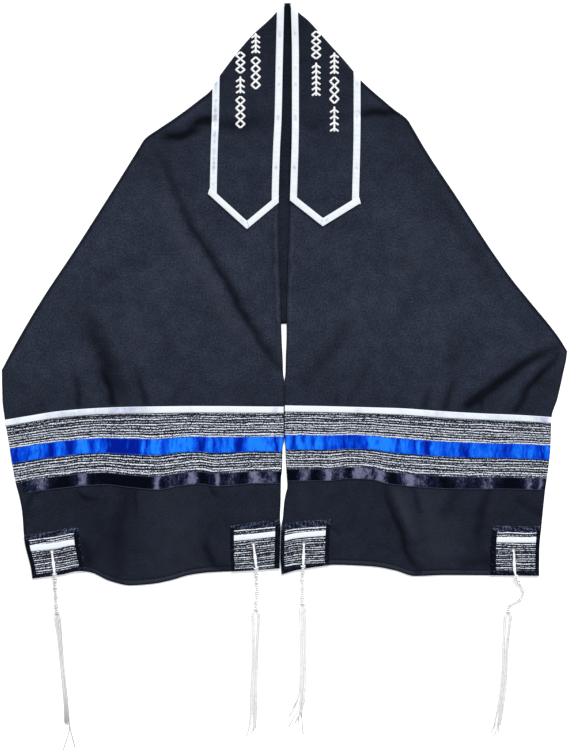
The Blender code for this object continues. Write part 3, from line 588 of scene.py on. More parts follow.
RIGHT = Half(
    "right", 1,
    fold=(
        (9.9, 464.6), (19, 451), (37, 435.5), (65, 404.5), (94, 372.5), (119, 343.5), (138, 325.5),
        (156, 310), (175, 294), (196, 278), (206, 262), (225, 230), (278, 150), (330, 70), (364, 22),
        (390, -10), (441, -74), (452.2, -92)),
    inner_edge=(
        (465, 9.9), (452, 10.4), (374, 12), (278, 12), (150, 8.8), (-46, 3.4), (-65, 3.5), (-103, 2.1),
        (-129, 1.5), (-140, -0.1), (-150, -0.1), (-228, -0.1), (-236, 0.2), (-246, 1.5), (-270, 2.2),
        (-296, 4), (-308, 4.6), (-321, 1.8), (-334, -0.5), (-360, -2.8), (-372, -5.1), (-398, -6.2),
        (-423, -6.7), (-436, -5.6), (-449, -4.6)),
    outer_edge=(
        (-92, 452.2), (-106, 450.5), (-122, 447), (-170, 436), (-196, 427.5), (-250, 425), (-282, 421.6),
        (-314, 417), (-362, 412), (-410, 407.5), (-452, 407)),
    back_hem=((0, -48.5), (20, -49), (452, -97)),
    band_top=(
        (0, -179), (57, -180), (121, -181.6), (185, -183.5), (249, -188), (313, -191.7), (377, -194.4),
        (426, -197.6)),
    band_low=(
        (0, -300.3), (65, -300), (105, -296.5), (140, -298), (161, -303.7), (185, -307), (217, -310),
        (281, -313), (345, -313), (417, -314.7)),
    hem=(
        (-3, -449), (17, -443), (49, -437.6), (81, -434), (113, -435), (145, -437), (177, -443),
        (209, -452), (257, -450.4), (407, -451.5)),
    point=((8.8, 148.5), (61, 107), (119, 142.7)),
    patches=(
        Patch("inner", 0, 0.015, 0.09, 0.172, 0.188, 61,
              (Lines(8.6, 52.4, 61.0, 70.6, 79.8), Lines(4.8, 47.5, 56.0, 63.9, 73))),
        Patch("outer", 0.811, 0.833, 0.9, 0.985, 1, 63,
              (Lines(8.3, 52.8, 61.4, 71, 79), Lines(8.3, 52.8, 61.4, 71, 79)))),
    creases=(
        (-2.4, 6.5, 1.0, ((120, 284, 0.7), (140, 289, 1), (160, 288, 1), (178, 290, 0.6))),
        (1.2, 10, -0.1, ((128, 306, 0.4), (150, 306, 1), (168, 298, 0.5))),
        (-1.4, 9, 0.3, ((20, 280, 0.4), (44, 270, 0.9), (76, 276, 0.8), (112, 284, 0.6))),
        (-1.4, 6, 0.3, ((30, 268, 0.2), (48, 262, 1), (60, 258, 0.4))),
        (-2.6, 8, 0.9, ((440, -86, 0.4), (404, -100, 0.9), (366, -124, 1), (330, -152, 1),
         (292, -178, 0.8))),
        (-0.8, 15, 0.35, ((392, -112, 0.2), (358, -136, 1), (322, -162, 1), (290, -184, 0.8))),
        (-0.6, 22, 0.3, ((446, -94, 0.4), (424, -136, 1), (398, -186, 0.9))),
        (2.0, 12, -0.1, ((424, -112, 0.3), (384, -136, 1), (352, -166, 0.8))),
        (-2.4, 7, 0.8, ((438, -98, 0.5), (414, -124, 1), (390, -152, 1), (370, -188, 0.9))),
        (-1.6, 12, 0.38, ((112, -30, 0), (94, -64, 0.9), (66, -104, 1), (34, -142, 0.8), (20, -160, 0.3))),
        (-1.2, 8, 0.34, ((150, -90, 0), (132, -124, 0.8), (112, -158, 0.7), (100, -180, 0.6))),
        (1.1, 18, -0.08, ((250, 150, 0.2), (214, 80, 1), (180, 10, 0.8), (150, -50, 0.4))),
        (0.7, 2.2, -0.15, ((12, 140, 0.2), (12, 60, 1), (9, 0, 0.8), (8, -60, 0.9), (5, -130, 0.3))),
        (-1.0, 17, 0.34, ((214, 220, 0.3), (262, 130, 0.8), (300, 70, 0.9), (338, 12, 0.5))),
        (-1.0, 12, 0.24, ((300, -10, 0), (284, -60, 0.6), (270, -110, 0.8))),
    ),
    gathers=(
        (-1.8, 6, 0.65, ((276, -130, 0), (264, -160, 0.9), (256, -186, 1))),
        (-1.5, 5, 0.6, ((236, -140, 0), (228, -166, 0.8), (222, -185, 1))),
        (1.2, 8, -0.08, ((248, -150, 0), (240, -185, 1))),
        (-1.4, 6, 0.5, ((90, -140, 0), (82, -181, 1))),
        (-1.2, 5, 0.5, ((318, -150, 0), (312, -190, 1))),
        (-1.0, 5, 0.25, ((180, -154, 0), (176, -183, 1))),
    ),
    end_folds=(
        (-2.2, 6, 0.85, ((159, -312, 0.5), (169, -338, 0.9), (182, -370, 1), (193, -402, 1),
         (201, -426, 0.8), (214, -446, 0.4))),
        (1.0, 10, -0.12, ((177, -318, 0.8), (192, -350, 1), (204, -384, 0.7))),
        (-1.0, 4, 0.5, ((204, -312, 0.5), (210, -330, 1), (219, -350, 0.3))),
        (-1.0, 8, 0.28, ((275, -320, 0.6), (265, -338, 1), (254, -354, 0.3))),
        (-1.2, 8, 0.6, ((328, -314, 0.8), (318, -343, 1), (311, -370, 0.9), (310, -410, 0.4))),
        (-0.9, 10, 0.6, ((288, -432, 0.6), (322, -428, 1))),
        (-1.0, 8, 0.5, ((376, -330, 0.6), (406, -352, 0.8))),
        (0.4, 40, -0.1, ((226, -330, 0.7), (250, -400, 1))),
        (-0.8, 5, 0.5, ((75, -372, 0.6), (85, -382, 0.8))),
    ),
    black_end=0.998,
    # painted highlights and shade along the band's satin ribbons: (out, half width, strength)
    glints={
        "blue": (
            (5.6, 3, .7), (14.4, 2, -.5), (23, 5, .7), (36, 6, .3), (54, 7, .6), (73, 6, .2),
            (97, 10, -.15), (114, 6, -.3), (140, 9, .6), (161, 11, .95), (180, 2, -.5), (190, 5, .35),
            (214, 3, .45), (228, 4, -.5), (238, 4, .4), (263, 5, .15), (274, 3, .3), (300, 60, .16),
            (289, 12, -.2), (305, 5, .2), (332, 4, .35), (353, 10, -.2), (377, 8, .35), (394, 4, .25),
            (411, 1.5, -.7), (420, 4, .5)),
        "black": (
            (7, 2.5, -.5), (14, 6, -.4), (50, 5, -.4), (104, 4, -.4), (174, 8, -.4), (255, 12, -.3),
            (362, 18, -.35), (32, 7, .6), (70, 7, .95), (90, 7, .3), (118, 10, .8), (134, 5, .5),
            (153, 9, .75), (201, 9, .9), (222, 7, .3), (284, 10, .25), (319, 4, .4), (330, 6, .45),
            (390, 6, .6), (409, 4, .5)),
        "white": (
            (60, 14, .3), (118, 10, .4), (190, 14, .3), (240, 26, .4), (285, 26, .34), (330, 26, .36),
            (372, 26, .36), (404, 14, .45), (416, 7, .6)),
    },
    tassels=(
        Tassel("inner", ((29.5, -446), (29, -470), (28.8, -497)),
               ((29.6, -586), (26.4, -650), (21.6, -682), (18.4, -706))),
        Tassel("outer", ((370, -454), (382, -479), (374, -491), (359, -500), (358, -510)),
               ((354.4, -554), (352.8, -594), (349.6, -634), (343, -674), (336, -708)))),
)
HALVES = (LEFT, RIGHT)


# ---- finishes

class Term:
    """A socket of a finish. Sums, differences and products of terms add Math nodes."""

    def __init__(self, tree, socket):
        self.tree, self.socket = tree, socket

    def math(self, operation, *values):
        node = self.tree.nodes.new("ShaderNodeMath")
        node.operation = operation
        for place, value in enumerate(values):
            if isinstance(value, Term):
                self.tree.links.new(value.socket, node.inputs[place])
            else:
                node.inputs[place].default_value = value
        return Term(self.tree, node.outputs[0])

    def __add__(self, other):
        return self.math("ADD", self, other)

    def __sub__(self, other):
        return self.math("SUBTRACT", self, other)

    def __mul__(self, other):
        return self.math("MULTIPLY", self, other)

    def sine(self):
        return self.math("SINE", self)


class Finish:
    """A finish under construction: a material, its shader and the nodes that feed it."""

    def __init__(self, name, **constants):
        self.material = bpy.data.materials.new(name)
        self.material.use_nodes = True
        self.tree = self.material.node_tree
        self.shader = self.tree.nodes["Principled BSDF"]
        for socket, value in constants.items():
            self.shader.inputs[socket.replace("_", " ").title().replace("Ior", "IOR")].default_value = value

    def node(self, kind, settings=None, output=0, **sockets):
        """Adds a node: its settings first, then the values or links of its sockets."""
        made = self.tree.nodes.new("ShaderNode" + kind)
        for key, value in (settings or {}).items():
            if key == "stops":
                ramp = made.color_ramp
                while len(ramp.elements) < len(value):
                    ramp.elements.new(0.5)
                for element, (place, colour) in zip(ramp.elements, value):
                    element.position = place
                    element.color = (*(colour if hasattr(colour, "__len__") else (colour,) * 3), 1)
            else:
                setattr(made, key, value)
        for key, value in sockets.items():
            socket = made.inputs[int(key[1:])] if key[0] == "i" and key[1:].isdigit() else made.inputs[key]
            if isinstance(value, Term):
                self.tree.links.new(value.socket, socket)
            else:
                socket.default_value = value
        return Term(self.tree, made.outputs[output])

    def mark(self, name):
        """A number that the mesh carries at each of its points."""
        return self.node("Attribute", {"attribute_name": name}, output="Fac")

    def noise(self, x, y, detail=2.0, roughness=0.5, z=0.0):
        """Noise at a place given by two or three terms, from 0 to 1."""
        place = self.node("CombineXYZ", X=x, Y=y, Z=z)
        return self.node("TexNoise", Vector=place, Scale=1.0, Detail=detail, Roughness=roughness)

    def ramp(self, factor, *stops):
        """Colours or numbers on a ramp."""
        return self.node("ValToRGB", {"stops": stops}, Fac=factor)

    def stretch(self, value, low, high, to_low=0.0, to_high=1.0):
        """Maps a range of a number onto another, and holds it there."""
        return self.node("MapRange", Value=value, **{
            "From Min": low, "From Max": high, "To Min": to_low, "To Max": to_high})

    def mix(self, factor, first, second, blend="MIX"):
        """A colour between two colours."""
        first = first if isinstance(first, Term) else (*first, 1)
        second = second if isinstance(second, Term) else (*second, 1)
        return self.node("Mix", {"data_type": "RGBA", "blend_type": blend}, output=2,
                         i0=factor, i6=first, i7=second)

    def colour(self, value):
        self.tree.links.new(value.socket, self.shader.inputs["Base Color"])

    def bump(self, height, strength, distance):
        """Raises the surface by a height in millimetres times distance."""
        made = self.node("Bump", Strength=strength, Distance=distance * MM, Height=height)
        self.tree.links.new(made.socket, self.shader.inputs["Normal"])


def cloth_place(finish):
    """Where a point lies on the surface, in millimetres."""
    place = finish.node("TexCoord", output="Object")
    split = finish.node("SeparateXYZ", Vector=place)
    x = split * (1 / MM)
    y = Term(finish.tree, split.socket.node.outputs["Y"]) * (1 / MM)
    return x, y


def black_cloth():
    """Black plain-woven cloth with a blue cast, with painted light and shade: lighter in the middle, darker towards
    the neck and the hem, and the shade mark painted in.
    """
    finish = Finish("black cloth", roughness=0.9, specular_ior_level=0.04,
                    sheen_weight=0.02, sheen_roughness=0.6)
    x, y = cloth_place(finish)
    blotch = finish.noise(x * 0.012, y * 0.012, detail=3)
    rubbed = finish.noise(x * 0.05, y * 0.05, detail=3, z=5.0)
    slub = finish.noise(x * 0.06, y * 1.1, detail=2)
    warp = finish.noise(x * 1.1, y * 0.06, detail=2)
    speck = finish.noise(x * 0.33, y * 0.33, detail=3, roughness=0.8)
    grain = blotch * 0.7 + rubbed * 0.4 + slub * 0.5 + warp * 0.5 + speck * 2.6
    # painted light and shade along the cloth: lighter in the middle, darker towards the neck and the hem
    depth = finish.ramp(finish.stretch(y, -460, 460), *PAINTED_FALLOFF)
    cloth = finish.ramp(finish.stretch(grain, 1.45, 3.15) * depth + (rubbed - 0.5) * 0.15,
                        (0.0, (0.0022, 0.0030, 0.0060)), (0.5, (0.0165, 0.0212, 0.0362)),
                        (1.0, (0.0450, 0.0540, 0.0820)))
    # the shade mark paints shade into the colour in folds, at turned edges and between layers; below 0 it paints light
    shade = finish.mark("shade")
    shaded_colour = finish.mix(shade, cloth, (0.0010, 0.0014, 0.0036))
    finish.colour(finish.mix(shade * -1.0, shaded_colour, (0.0720, 0.0800, 0.1000)))
    threads_x, threads_y = (x * 7.0).sine(), (y * 7.0).sine()
    finish.bump(threads_x * threads_y + speck * 2.0, 0.5, 0.25)
    return finish.material


def grey_weave(name, lines, pitch=4.0, grain=0.62, speckle=3.5, level=0.17):
    """Black, grey and white threads in broken streaks, with darker and lighter lines across.

    The lines are (share of the depth, brightness) stops: 0.5 leaves the weave as it is.
    """
    finish = Finish(name, roughness=0.9, specular_ior_level=0.2)
    along, across, depth = finish.mark("along"), finish.mark("across"), finish.mark("depth")
    sway = finish.noise(along * 0.022, across * 0.03, detail=2) - 0.5
    swayed = across + sway * 5.0
    phase = swayed * (2 * np.pi / pitch) + finish.noise(along * 0.02, across * 0.12, detail=2, z=21.0) * 5.5
    picks = phase.sine()
    long_streaks = finish.noise(along * 0.03, swayed * 0.45, detail=2, roughness=0.55)
    dashes = finish.noise(along * 0.13, swayed * 0.85, detail=2, roughness=0.6, z=4.0)
    specks = finish.noise(along * 0.46, swayed * 0.85, detail=1, roughness=0.5, z=9.0)
    wander = (finish.noise(along * 0.03, across * 0.05, detail=2, z=2.0) - 0.5) * 0.05
    line = finish.ramp(depth + wander, *lines)
    tone = (picks * grain + (long_streaks - 0.5) * 0.9 + (dashes - 0.5) * 1.9 + (specks - 0.5) * speckle
            + (line - 0.5) * 1.6 + level)
    weave = finish.ramp(tone,
                        (0.0, (0.003, 0.004, 0.006)), (0.30, (0.022, 0.024, 0.030)),
                        (0.5, (0.120, 0.137, 0.180)), (0.70, (0.355, 0.392, 0.470)),
                        (1.0, (0.765, 0.800, 0.890)))
    tint = finish.noise(along * 0.08, swayed * 0.4, detail=1, z=14.0)
    warm = finish.mix(finish.stretch(tint, 0.6, 0.8, 0, 0.5), weave, (1.0, 0.92, 0.82), "MULTIPLY")
    finish.colour(warm)
    finish.bump(tone, 0.6, 0.5)
    return finish.material


def satin(name, dark, middle, bright, edge, gloss, mottle, level, streaky=0.0, fine=1.0):
    """A satin ribbon with painted sheen: the glint mark, set where the ribbon ripples, paints highlights and shade
    into its colour; with a woven edge.
    """
    finish = Finish(name, roughness=0.45, specular_ior_level=gloss)
    along, across, glint = finish.mark("along"), finish.mark("across"), finish.mark("glint")
    share = finish.mark("depth")
    cloud = finish.noise(along * 0.035, across * 0.03, detail=3, roughness=0.6)
    fuzz = finish.noise(along * (0.24 * fine), across * (0.12 * fine), detail=3, roughness=0.7, z=7.0)
    grain = finish.noise(along * 0.7, across * 0.35, detail=2, roughness=0.7, z=3.0)
    patchy = finish.noise(along * 0.07, across * 0.06, detail=1, z=17.0)
    lean = finish.noise(along * 0.03, across * 0.05, detail=1, z=31.0) - 0.5
    streak = finish.noise((along + lean * 9.0) * 0.15, across * 0.03, detail=2, roughness=0.6, z=11.0)
    # painted sheen: the glint mark and noise set where highlights and shade are painted into the colour
    sheen = (glint * (fuzz * 1.4 + patchy * 0.9 - 0.15) + (cloud - 0.5) * 0.4 + (streak - 0.5) * streaky
             + (grain + fuzz - 1.0) * mottle + level)
    lit = finish.ramp(sheen, (0.0, dark), (0.38, middle), (1.0, bright))
    rim = finish.ramp(share, (0.0, 1.0), (0.07, 0.0), (0.93, 0.0), (1.0, 1.0))
    finish.colour(finish.mix(rim * 0.6, lit, edge))
    finish.bump((across * 9.0).sine() * 0.5 + grain, 0.35, 0.12)
    return finish.material


def yarn(name, colour, pitch, sheen):
    """Twisted yarn, with painted shade in the grooves of its twist and more painted shade where its shade mark is
    high.
    """
    finish = Finish(name, roughness=0.85, specular_ior_level=0.1, sheen_weight=sheen)
    along, across = finish.mark("along"), finish.mark("across")
    fuzz = finish.noise(along * 1.3, across * 2.0, detail=2)
    spots = finish.noise(along * 0.15, across * 3.0, detail=1, z=6.0)
    low, groove_shade = (tuple(share * part for part in colour) for share in (0.92, 0.40))
    tone = finish.mix(finish.stretch(fuzz, 0.3, 0.7), low, colour)
    # painted shade in the grooves of the twist, then where the shade mark is high
    twist = (along * (2 * np.pi / pitch) + across * 2.0).sine()
    deep = finish.stretch(twist, -1.0, 0.2, 0.8, 0.0) * finish.stretch(spots, 0.42, 0.62, 0.1, 1.0)
    groove_shaded = finish.mix(deep, tone, groove_shade)
    finish.colour(finish.mix(finish.mark("shade"), groove_shaded, groove_shade))
    finish.bump(twist + fuzz, 0.5, 0.2)
    return finish.material


PAINTED_FALLOFF = (       # painted light and shade: how light the cloth is painted, from the hem up to the neck
    (0.0, 0.50), (0.16, 0.53), (0.29, 0.80), (0.37, 0.98), (0.58, 1.02), (0.68, 0.96), (0.76, 0.86),
    (0.84, 0.71), (0.92, 0.54), (1.0, 0.46))
UPPER_LINES = (
    (0.00, 0.45), (0.10, 0.50), (0.13, 0.02), (0.16, 0.60), (0.20, 0.70), (0.26, 0.50), (0.35, 0.45),
    (0.375, 0.02), (0.40, 0.50), (0.45, 0.70), (0.50, 0.50), (0.52, 0.25), (0.55, 0.50), (0.60, 0.75),
    (0.66, 0.55), (0.79, 0.50), (0.825, -0.1), (0.86, 0.60), (0.90, 0.75), (0.96, 0.80), (1.00, 0.50))
LOWER_LINES = (
    (0.00, 0.60), (0.04, 0.55), (0.15, 0.45), (0.185, 0.00), (0.22, 0.55), (0.27, 0.65), (0.33, 0.45),
    (0.36, 0.25), (0.40, 0.55), (0.46, 0.80), (0.52, 0.55), (0.60, 0.45), (0.68, 0.45), (0.715, 0.0),
    (0.75, 0.55), (0.84, 0.85), (0.90, 0.50), (0.94, 0.75), (0.985, 0.2), (1.00, 0.3))
PATCH_LINES = (
    (0.00, 0.50), (0.05, 0.80), (0.09, 0.10), (0.12, 0.60), (0.30, 0.30), (0.34, 0.60), (0.42, 0.20),
    (0.45, 0.60), (0.55, 0.15), (0.58, 0.62), (0.68, 0.20), (0.71, 0.62), (0.80, 0.30), (0.84, 0.62),
    (0.90, 0.15), (0.93, 0.80), (0.97, 0.40), (1.00, 0.30))


def make_finishes():
    """All the finishes, by name."""
    return {
        "black_cloth": black_cloth(),
        "grey_upper": grey_weave("grey weave above the blue ribbon", UPPER_LINES),
        "grey_lower": grey_weave("grey weave below the blue ribbon", LOWER_LINES),
        "grey_patch": grey_weave("grey weave of the patches", PATCH_LINES,
                                 pitch=3.5, grain=0.66, speckle=2.8, level=0.22),
        "white_satin": satin("white satin", dark=(0.70, 0.74, 0.765), middle=(0.68, 0.73, 0.76),
                             bright=(0.40, 0.43, 0.58), edge=(0.50, 0.53, 0.60),
                             gloss=0.2, mottle=0.2, level=0.12),
        "blue_satin": satin("blue satin", dark=(0.0, 0.009, 0.235), middle=(0.001, 0.052, 0.57),
                            bright=(0.010, 0.185, 0.84), edge=(0.02, 0.07, 0.34),
                            gloss=0.02, mottle=0.5, level=0.33, streaky=1.7),
        "black_satin": satin("black satin", dark=(0.0010, 0.0015, 0.0048), middle=(0.0080, 0.0110, 0.0300),
                             bright=(0.132, 0.135, 0.222), edge=(0.075, 0.085, 0.13),
                             gloss=0.018, mottle=1.15, level=0.195, streaky=0.6),
        "navy_satin": satin("navy satin", dark=(0.0008, 0.0012, 0.0036), middle=(0.0036, 0.0070, 0.0200),
                            bright=(0.10, 0.13, 0.21), edge=(0.004, 0.005, 0.012),
                            gloss=0.05, mottle=1.5, level=-0.03, fine=2.2),
        "embroidery": yarn("white embroidery thread", (0.88, 0.88, 0.88), pitch=1.2, sheen=0.2),
        "white_cord": yarn("white wool cord", (0.935, 0.940, 0.950), pitch=3.0, sheen=0.2),
        "dark_thread": yarn("dark sewing thread", (0.004, 0.005, 0.011), pitch=1.0, sheen=0.0),
        "grey_thread": yarn("grey sewing thread", (0.24, 0.24, 0.27), pitch=1.0, sheen=0.1),
    }


# ---- meshes

def add_mesh(name, vertices, faces, finish, marks=None, sharp=50):
    """A mesh object from points in millimetres, smooth but for its sharp edges."""
    vertices, faces = np.asarray(vertices, dtype=float), [tuple(face) for face in faces]
    mesh = bpy.data.meshes.new(name)
    mesh.from_pydata((vertices * MM).tolist(), [], faces)
    for mark, values in (marks or {}).items():
        attribute = mesh.attributes.new(mark, "FLOAT", "POINT")
        attribute.data.foreach_set("value", np.asarray(values, dtype=np.float32).ravel())
    mesh.shade_smooth()
    if sharp:
        mesh.set_sharp_from_angle(angle=np.radians(sharp))
    mesh.materials.append(FINISHES[finish])
    piece = bpy.data.objects.new(name, mesh)
    bpy.context.scene.collection.objects.link(piece)
    return piece


def add_thread(name, vertices, faces, finish, along, across=0.0, **marks):
    """A mesh object of yarn, with the way along it at each of its points."""
    marks = {"along": along, "across": np.full(len(along), float(across)), **marks}
    return add_mesh(name, vertices, faces, finish, marks, sharp=0)


def normals_of(points, turned):
    """Unit normals of a grid of points, on its upper side."""
    down, across = np.gradient(points, axis=0), np.gradient(points, axis=1)
    normals = np.cross(down, across)
    normals /= np.maximum(np.linalg.norm(normals, axis=-1, keepdims=True), 1e-9)
    return -normals if turned else normals


def shell_parts(points, turned, wall, cells=None):
    """Vertices and faces of a closed cloth wall whose upper side is this grid of points."""
    rows, columns = points.shape[:2]
    cells = np.ones((rows - 1, columns - 1), dtype=bool) if cells is None else cells
    index = np.arange(rows * columns).reshape(rows, columns)
    a, b, c, d = index[:-1, :-1], index[1:, :-1], index[1:, 1:], index[:-1, 1:]
    upper = np.stack((a, b, c, d), axis=-1)[cells]
    below = rows * columns
    faces = [upper, upper[:, ::-1] + below]
    padded = np.pad(cells, 1)
    sides = ((a, b, padded[1:-1, :-2]), (b, c, padded[2:, 1:-1]),
             (c, d, padded[1:-1, 2:]), (d, a, padded[:-2, 1:-1]))
    for start, end, neighbour in sides:
        rim = cells & ~neighbour
        faces.append(np.stack((end[rim], start[rim], start[rim] + below, end[rim] + below), axis=-1))
    faces = np.concatenate(faces)
    if turned:
        faces = faces[:, ::-1]
    lower = points - wall * normals_of(points, turned)
    vertices = np.concatenate((points.reshape(-1, 3), lower.reshape(-1, 3)))
    vertices[:, 2] = np.maximum(vertices[:, 2], FLOOR_CLEARANCE)
    return vertices, faces


def add_shell(name, points, half, wall, finish, marks=None, cells=None):
    """A closed cloth wall under a grid of points of a half. The marks are grids of numbers."""
    vertices, faces = shell_parts(points, half is LEFT, wall, cells)
    used, faces = np.unique(faces, return_inverse=True)
    faces = faces.reshape(-1, 4)
    both = {mark: np.tile(np.broadcast_to(values, points.shape[:2]).ravel(), 2)[used]
            for mark, values in (marks or {}).items()}
    return add_mesh(name, vertices[used], faces, finish, both)


def join(name, pieces):
    """Joins mesh objects into one, which keeps their finishes."""
    with bpy.context.temp_override(active_object=pieces[0], selected_editable_objects=pieces):
        bpy.ops.object.join()
    pieces[0].name = name
    return pieces[0]


def hand_over(piece, slot, *nodes):
    """The piece stands for these solids, and rides with the shawl."""
    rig.ride(piece, "root")
    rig.slot(piece, slot)
    if nodes:
        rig.replaces(piece, *nodes)
    return piece


def flat_area(points):
    """Area in square metres of the cloth under a grid of points."""
    down, across = np.diff(points, axis=0)[:, :-1], np.diff(points, axis=1)[:-1]
    return float(np.linalg.norm(np.cross(down, across), axis=-1).sum()) * MM ** 2


def declare_sheet(piece, points, rests_on, with_pieces=(), held="laid"):
    """Says that a piece is a sheet of cloth, cut to the size of its grid of points."""
    width, length = (float(size) for size in np.ptp(points[..., :2].reshape(-1, 2), axis=0) * MM)
    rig.sheet(piece, flat=(width, length), held=held, rests_on=rests_on, with_pieces=with_pieces,
             area=min(flat_area(points), width * length))


def declare_cord(piece, route, length, radius, far_end):
    """Says that a piece is a limp cord with this middle line."""
    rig.cord(piece, exit=tuple(route[0] * MM), length=length * MM, diameter=2 * radius * MM, far_end=far_end,
            stiffness="limp", lay="loose", path=[tuple(point) for point in route * MM])


def declare_ribbon(piece, grids, width, rests_on):
    """Says that a piece is a length of straight ribbon."""
    length = sum(flat_area(points) for points in grids) / (width * MM)
    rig.sheet(piece, flat=(width * MM, length), held="laid", rests_on=rests_on)


def tube(path, radii, sides=8, flat=1.0):
    """Rings of points along a path. The radii are one for all, one a ring, or one a point."""
    path = np.asarray(path, dtype=float)
    tangents = np.gradient(path, axis=0)
    tangents /= np.maximum(np.linalg.norm(tangents, axis=1, keepdims=True), 1e-9)
    up = np.array((0.0, 0.0, 1.0))
    across = np.cross(tangents, up)
    steep = np.linalg.norm(across, axis=1) < 1e-3
    across[steep] = (1.0, 0.0, 0.0)
    across /= np.linalg.norm(across, axis=1, keepdims=True)
    over = np.cross(across, tangents)
    angles = np.linspace(0, 2 * np.pi, sides, endpoint=False)[None]
    radii = np.asarray(radii, dtype=float)
    radii = radii if radii.ndim == 2 else np.broadcast_to(radii, (len(path),))[:, None]
    sideways, upward = radii * np.cos(angles), radii * np.sin(angles) * flat
    return path[:, None] + across[:, None] * sideways[..., None] + over[:, None] * upward[..., None]


def tube_mesh(rings):
    """Vertices and faces of closed rings with a point at each end."""
    count, sides = rings.shape[:2]
    index = np.arange(count * sides).reshape(count, sides)
    onward = np.roll(index, -1, axis=1)
    quads = np.stack((index[:-1], onward[:-1], onward[1:], index[1:]), axis=-1).reshape(-1, 4)
    start, end = count * sides, count * sides + 1
    faces = [tuple(quad) for quad in quads]
    faces += [(int(b), int(a), start) for a, b in zip(index[0], onward[0])]
    faces += [(int(a), int(b), end) for a, b in zip(index[-1], onward[-1])]
    vertices = np.concatenate((rings.reshape(-1, 3), [rings[0].mean(axis=0)], [rings[-1].mean(axis=0)]))
    return vertices, faces


def gather_meshes(parts):
    """Joins (vertices, faces) parts into one."""
    vertices, faces, count = [], [], 0
    for points, cells in parts:
        vertices.append(points)
        faces += [tuple(int(corner) + count for corner in cell) for cell in cells]
        count += len(points)
    return np.concatenate(vertices), faces


# ---- sewing

def stitch_line(path, pitch, length, radius):
    """Stitches along a path of points: short thick dashes that dip at both ends."""
    path = np.asarray(path, dtype=float)
    way = way_along(path)
    parts = []
    for start in np.arange(pitch / 2, way[-1] - length, pitch):
        at = start + np.array((0, 0.25, 0.75, 1)) * length
        line = np.stack([np.interp(at, way, path[:, axis]) for axis in range(3)], axis=-1)
        line[[0, -1], 2] -= 0.5 * radius
        parts.append(tube_mesh(tube(line, radius * np.array((0.45, 1, 1, 0.45)), sides=6, flat=0.7)))
    return parts


def add_stitches(name, lines, finish, slot, pitch=3.2, length=2.3, radius=0.32):
    """One piece with the stitches along several lines."""
    stitches = (part for line in lines for part in stitch_line(line, pitch, length, radius))
    vertices, faces = gather_meshes(stitches)
    return hand_over(add_thread(name, vertices, faces, finish, vertices[:, 0]), slot)


# ---- the plain cloth

FINE = 3.6                                        # spacing of the points of the cloth
FRONT_LENGTH = 640
ROW_SPREAD = 1.08                                 # above 1, the rows are closer together at the fold
# painted shade at edges that turn down: its strength and its reach in millimetres
EDGE_SHADE, EDGE_REACH = 0.6, 1.9


def front_columns():
    """Columns of a fine front, closer together at its edges."""
    inner = np.linspace(0, 0.03, 7)[:-1]
    middle = np.linspace(0.03, 0.955, 116)
    outer = np.linspace(0.955, 1, 12)[1:]
    return np.concatenate((inner, middle, outer))


def fold_shade(folds, out, y):
    """Painted shade: how much darker the cloth is painted in its folds, and below 0 painted light."""
    shade = np.zeros(np.shape(y))
    for fold in folds:
        reach, strength = crease_reach(fold, out, y)
        shade = shade + fold.nap * strength * np.exp(-1.2 * reach ** 2)
    return np.clip(shade, LIGHTEST, DARKEST_FOLD)


def crease_shade(half, out, y):
    """Painted shade in a front's creases, fading out just above the band."""
    above_band = y - half.band_line(WHITE_TOP, half.column_at(out, y))
    return fold_shade(half.creases + half.gathers, out, y) * smooth(above_band / SHADE_FROM_BAND)


def edge_shade(distance):
    """Painted shade: how much darker cloth is painted at an edge that turns down."""
    return EDGE_SHADE * np.exp(-(distance / EDGE_REACH) ** 2)


def make_front(half):
    """The front of a half, from under its rolled fold to the striped band."""
    columns = front_columns()
    roll_rows = half.around_roll(columns)
    lip = roll_rows[0].copy()
    lip_y = half.fold_at(columns) - (half.roll_at(columns) + LIP) / half.slant_at(columns)
    lip[:, 0], lip[:, 1] = half.side * half.out_at(columns, lip_y), lip_y
    crest_y = half.crest_at(columns)
    seam = half.band_line(UPPER_SEAM, columns) + GAP / 2
    shares = np.linspace(0, 1, int(FRONT_LENGTH / FINE))[:, None] ** ROW_SPREAD
    heights = crest_y + shares * (seam - crest_y)
    outs = half.out_at(columns, heights)
    body = half.points(outs, heights)
    roll_rows[-1] = body[0]
    points = np.concatenate((lip[None], roll_rows, body[1:]))
    # painted shade: the roll is painted dark all over, the body with its creases' shade and darker near its edges
    shade = np.full(points.shape[:2], EDGE_SHADE)
    inward = np.minimum((crest_y - heights) * half.slant_at(columns), outs - half.out_at(0.0, heights))
    inward = np.minimum(inward, half.out_at(1.0, heights) - outs)
    shade[-len(body):] = np.clip(crease_shade(half, outs, heights) + edge_shade(inward), LIGHTEST, DARKEST)
    piece = add_shell(f"front_cloth_{half.name}", points, half, CLOTH_WALL, "black_cloth", {"shade": shade})
    hand_over(piece, "black_cloth", f"front_panel_{half.name}")
    declare_sheet(piece, points, ["back_cloth"], held="folded")


